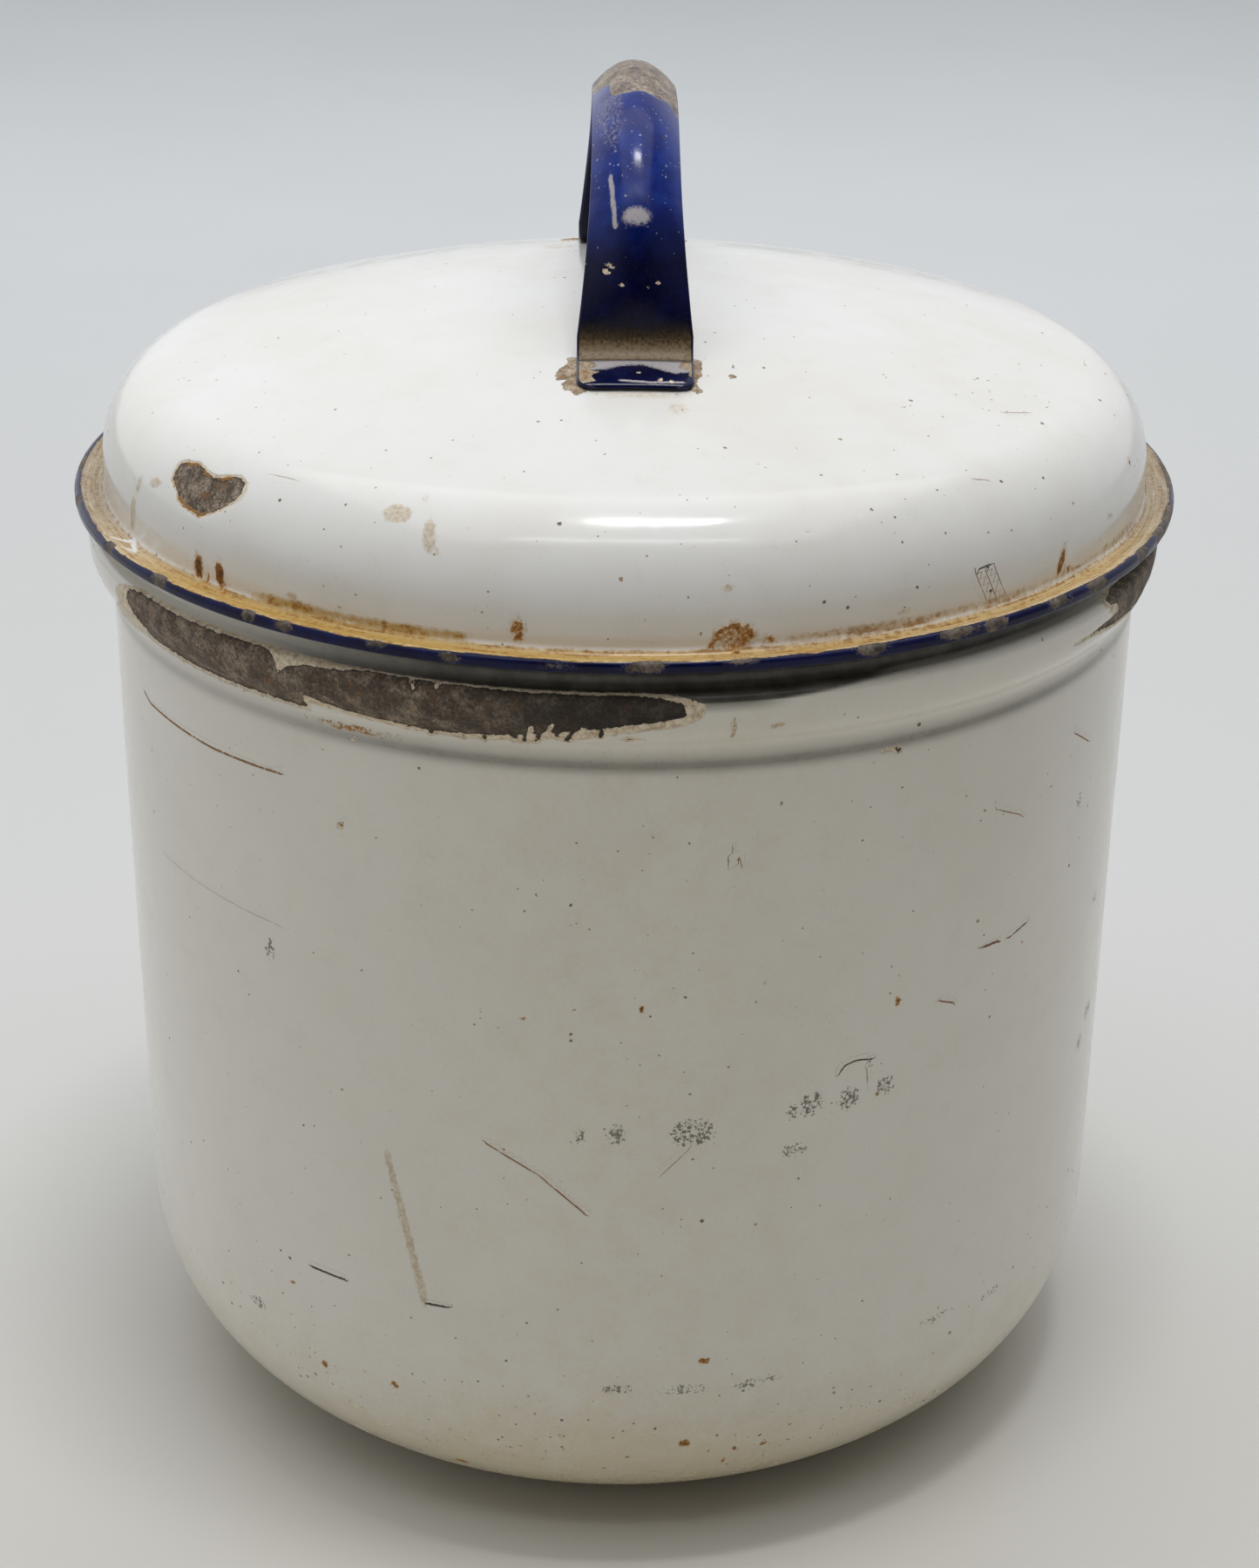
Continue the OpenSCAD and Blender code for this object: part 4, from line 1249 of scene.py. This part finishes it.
handle_finish = surface("blue_enamel_handle")
handle_look = white_enamel(handle_finish, COOL_WHITE)
# Painted shade: the blue runs from bright at the top of the arch to near black towards the feet.
shade = handle_finish.layer("shade")
deep_blue = handle_finish.mix(shade, (0.0038, 0.014, 0.150), (0.0015, 0.002, 0.020))
light_blue = handle_finish.mix(shade, (0.008, 0.034, 0.25), (0.0025, 0.004, 0.042))
cobalt(handle_finish, handle_look, handle_finish.layer("blue").rise(0, 1), deep_blue, light_blue)
lay(handle_finish, handle_look, chalky, nicks, pinholes)
rubbed(handle_finish, handle_look, 0.0, 1.0)
lay(handle_finish, handle_look, ground_coat, crust)
dirt = handle_finish.layer("amber")
dirt_grain = (handle_finish.noise(0.7, 4, 0.75) - 0.5) * 0.8
dirt_tone = handle_finish.ramp(
    dirt + dirt_grain, (0.30, (0.004, 0.004, 0.005)), (0.62, (0.022, 0.015, 0.009)),
    (0.85, (0.085, 0.055, 0.024)), (1.0, (0.22, 0.155, 0.08)))
handle_look.cover((dirt + dirt_grain * 0.8).rise(0.1, 0.75) * 0.92, dirt_tone, 0.5)
dress(handle_strap, handle_look.done(specular=0.3))

# %% Spot welds
weld_finish = surface("weld_steel")
weld_grain = weld_finish.noise(0.5, 4, 0.7)
weld_tone = weld_finish.ramp(weld_grain, (0.35, (0.05, 0.035, 0.025)), (0.55, (0.16, 0.13, 0.10)),
                             (0.7, (0.30, 0.26, 0.21)))
weld_look = Look(weld_finish, weld_tone, weld_grain * 0.3 + 0.4, weld_grain * 0.05)
dress(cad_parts["spot_welds"], weld_look.done(0.6))
print("materials:", [m.name for m in bpy.data.materials])

# %% [markdown]
# ## The room
# A studio table: a pale floor that runs on into the distance, a broad soft ceiling, two narrow strips that
# draw the bright lines along the lid's shoulder. Light that the glossy handle would focus onto the crown is
# switched off: it draws a hard bright curve that a real, softer room doesn't show.

# %% The floor
def disc(name, radius, rings=24, spokes=96):
    """A flat disc at the jar's foot."""
    turns = np.arange(spokes) * 2 * math.pi / spokes
    level = np.zeros(spokes)
    points = [np.zeros((1, 3))]
    for r in radius * (np.arange(1, rings + 1) / rings) ** 1.6:
        points.append(np.stack([r * np.sin(turns), -r * np.cos(turns), level], 1))
    ring = np.arange(spokes)
    following = (ring + 1) % spokes
    hub = np.stack([np.zeros_like(ring), 1 + ring, 1 + following], 1)
    bands = [np.stack([1 + i * spokes + ring, 1 + (i + 1) * spokes + ring, 1 + (i + 1) * spokes + following,
                       1 + i * spokes + following], 1) for i in range(rings - 1)]
    return make_mesh(name, np.concatenate(points), [hub, np.concatenate(bands)], {})


floor = disc("floor", 4200.0)
floor_finish = surface("pale_floor")
inwards = floor_finish.part(floor_finish.place, "Y")
# Painted light: the floor turns lighter and cooler towards the back, standing in for a lit backdrop.
floor_tone = floor_finish.mix(inwards.rise(-350, 250), (0.625, 0.600, 0.540), (0.67, 0.675, 0.67))
floor_tone = floor_finish.mix(inwards.rise(200, 1500), floor_tone, (0.87, 0.91, 0.94))
floor_patches = floor_finish.noise(260, 3, 0.5).rise(0.3, 0.7) * 0.04
floor_tone = floor_finish.mix(floor_patches, floor_tone, (0.4, 0.4, 0.38))
floor_roughness = floor_finish.noise(14, 2) * 0.1 + 0.6
floor_look = Look(floor_finish, floor_tone, floor_roughness, floor_finish.noise(1.5, 2) * 0.01)
dress(floor, floor_look.done())


# %% Lamps
def lamp(name, azimuth, elevation, distance, size, power, tone=(1.0, 1.0, 1.0), target=(0.0, 0.0, 0.25)):
    """A rectangular area lamp; azimuth 0 is in front and 90 is on the right, in degrees."""
    a, e = math.radians(azimuth), math.radians(elevation)
    away = Vector((math.sin(a) * math.cos(e), -math.cos(a) * math.cos(e), math.sin(e)))
    light = bpy.data.lights.new(name, "AREA")
    light.shape, light.size, light.size_y = "RECTANGLE", size[0], size[1]
    light.energy, light.color = power, tone
    holder = bpy.data.objects.new(name, light)
    holder.location = Vector(target) + away * distance
    holder.rotation_euler = (-away).to_track_quat("-Z", "Y").to_euler()
    bpy.context.collection.objects.link(holder)


lamp("ceiling", 0, 90, 1.9, (2.6, 2.6), 26)
lamp("overhead_strip", 0, 84, 1.7, (0.46, 0.17), 9.5, target=(0.12, 0.0, 0.25))
lamp("front_strip", 0, 61, 1.8, (1.2, 0.05), 1.6)

# %% The world
world = bpy.data.worlds.new("studio")
bpy.context.scene.world = world
sky = Finish(world)
aim = sky.node("ShaderNodeTexCoord", output="Generated")
rightward = sky.part(aim, "X")
glow = sky.part(aim, "Y").rise(0, 0.9) * 0.70 + (0 - rightward).rise(0, 0.9) * 0.52
glow = glow + rightward.rise(0, 0.9) * 0.20 + 0.01
seen = sky.node("ShaderNodeLightPath", output="Is Camera Ray")
strength = glow + (0.62 - glow) * seen
backdrop = sky.node("ShaderNodeBackground", {}, {"Color": (0.97, 0.985, 1.0, 1.0), "Strength": strength})
sky.node("ShaderNodeOutputWorld", {}, {"Surface": backdrop})

# %% [markdown]
# ## The camera
# It stands in front of the jar at arm's length and looks down on it, a hair to the right, with a
# portrait lens. The view transform is the plain one, so the whites stay white.

# %% The camera
pitch, yaw, roll = 0.4303, 0.01706, 0.01087
eye = Vector((-0.00847, -0.60635, 0.41748))
forward = Vector((math.sin(yaw) * math.cos(pitch), math.cos(yaw) * math.cos(pitch), -math.sin(pitch)))
level = Vector((math.cos(yaw), -math.sin(yaw), 0.0))
upright = level.cross(forward)
right = level * math.cos(roll) + upright * math.sin(roll)
up = upright * math.cos(roll) - level * math.sin(roll)
lens = bpy.data.cameras.new("camera")
lens.sensor_width = 36.0
lens.lens = 63.79
lens.clip_start, lens.clip_end = 0.05, 50.0
camera = bpy.data.objects.new("camera", lens)
camera.matrix_world = Matrix((
    (right.x, up.x, -forward.x, eye.x),
    (right.y, up.y, -forward.y, eye.y),
    (right.z, up.z, -forward.z, eye.z),
    (0, 0, 0, 1)))
bpy.context.collection.objects.link(camera)
bpy.context.scene.camera = camera
bpy.context.scene.view_settings.view_transform = "Standard"
bpy.context.scene.cycles.caustics_reflective = False
print("camera looks down", round(math.degrees(pitch), 1), "degrees")
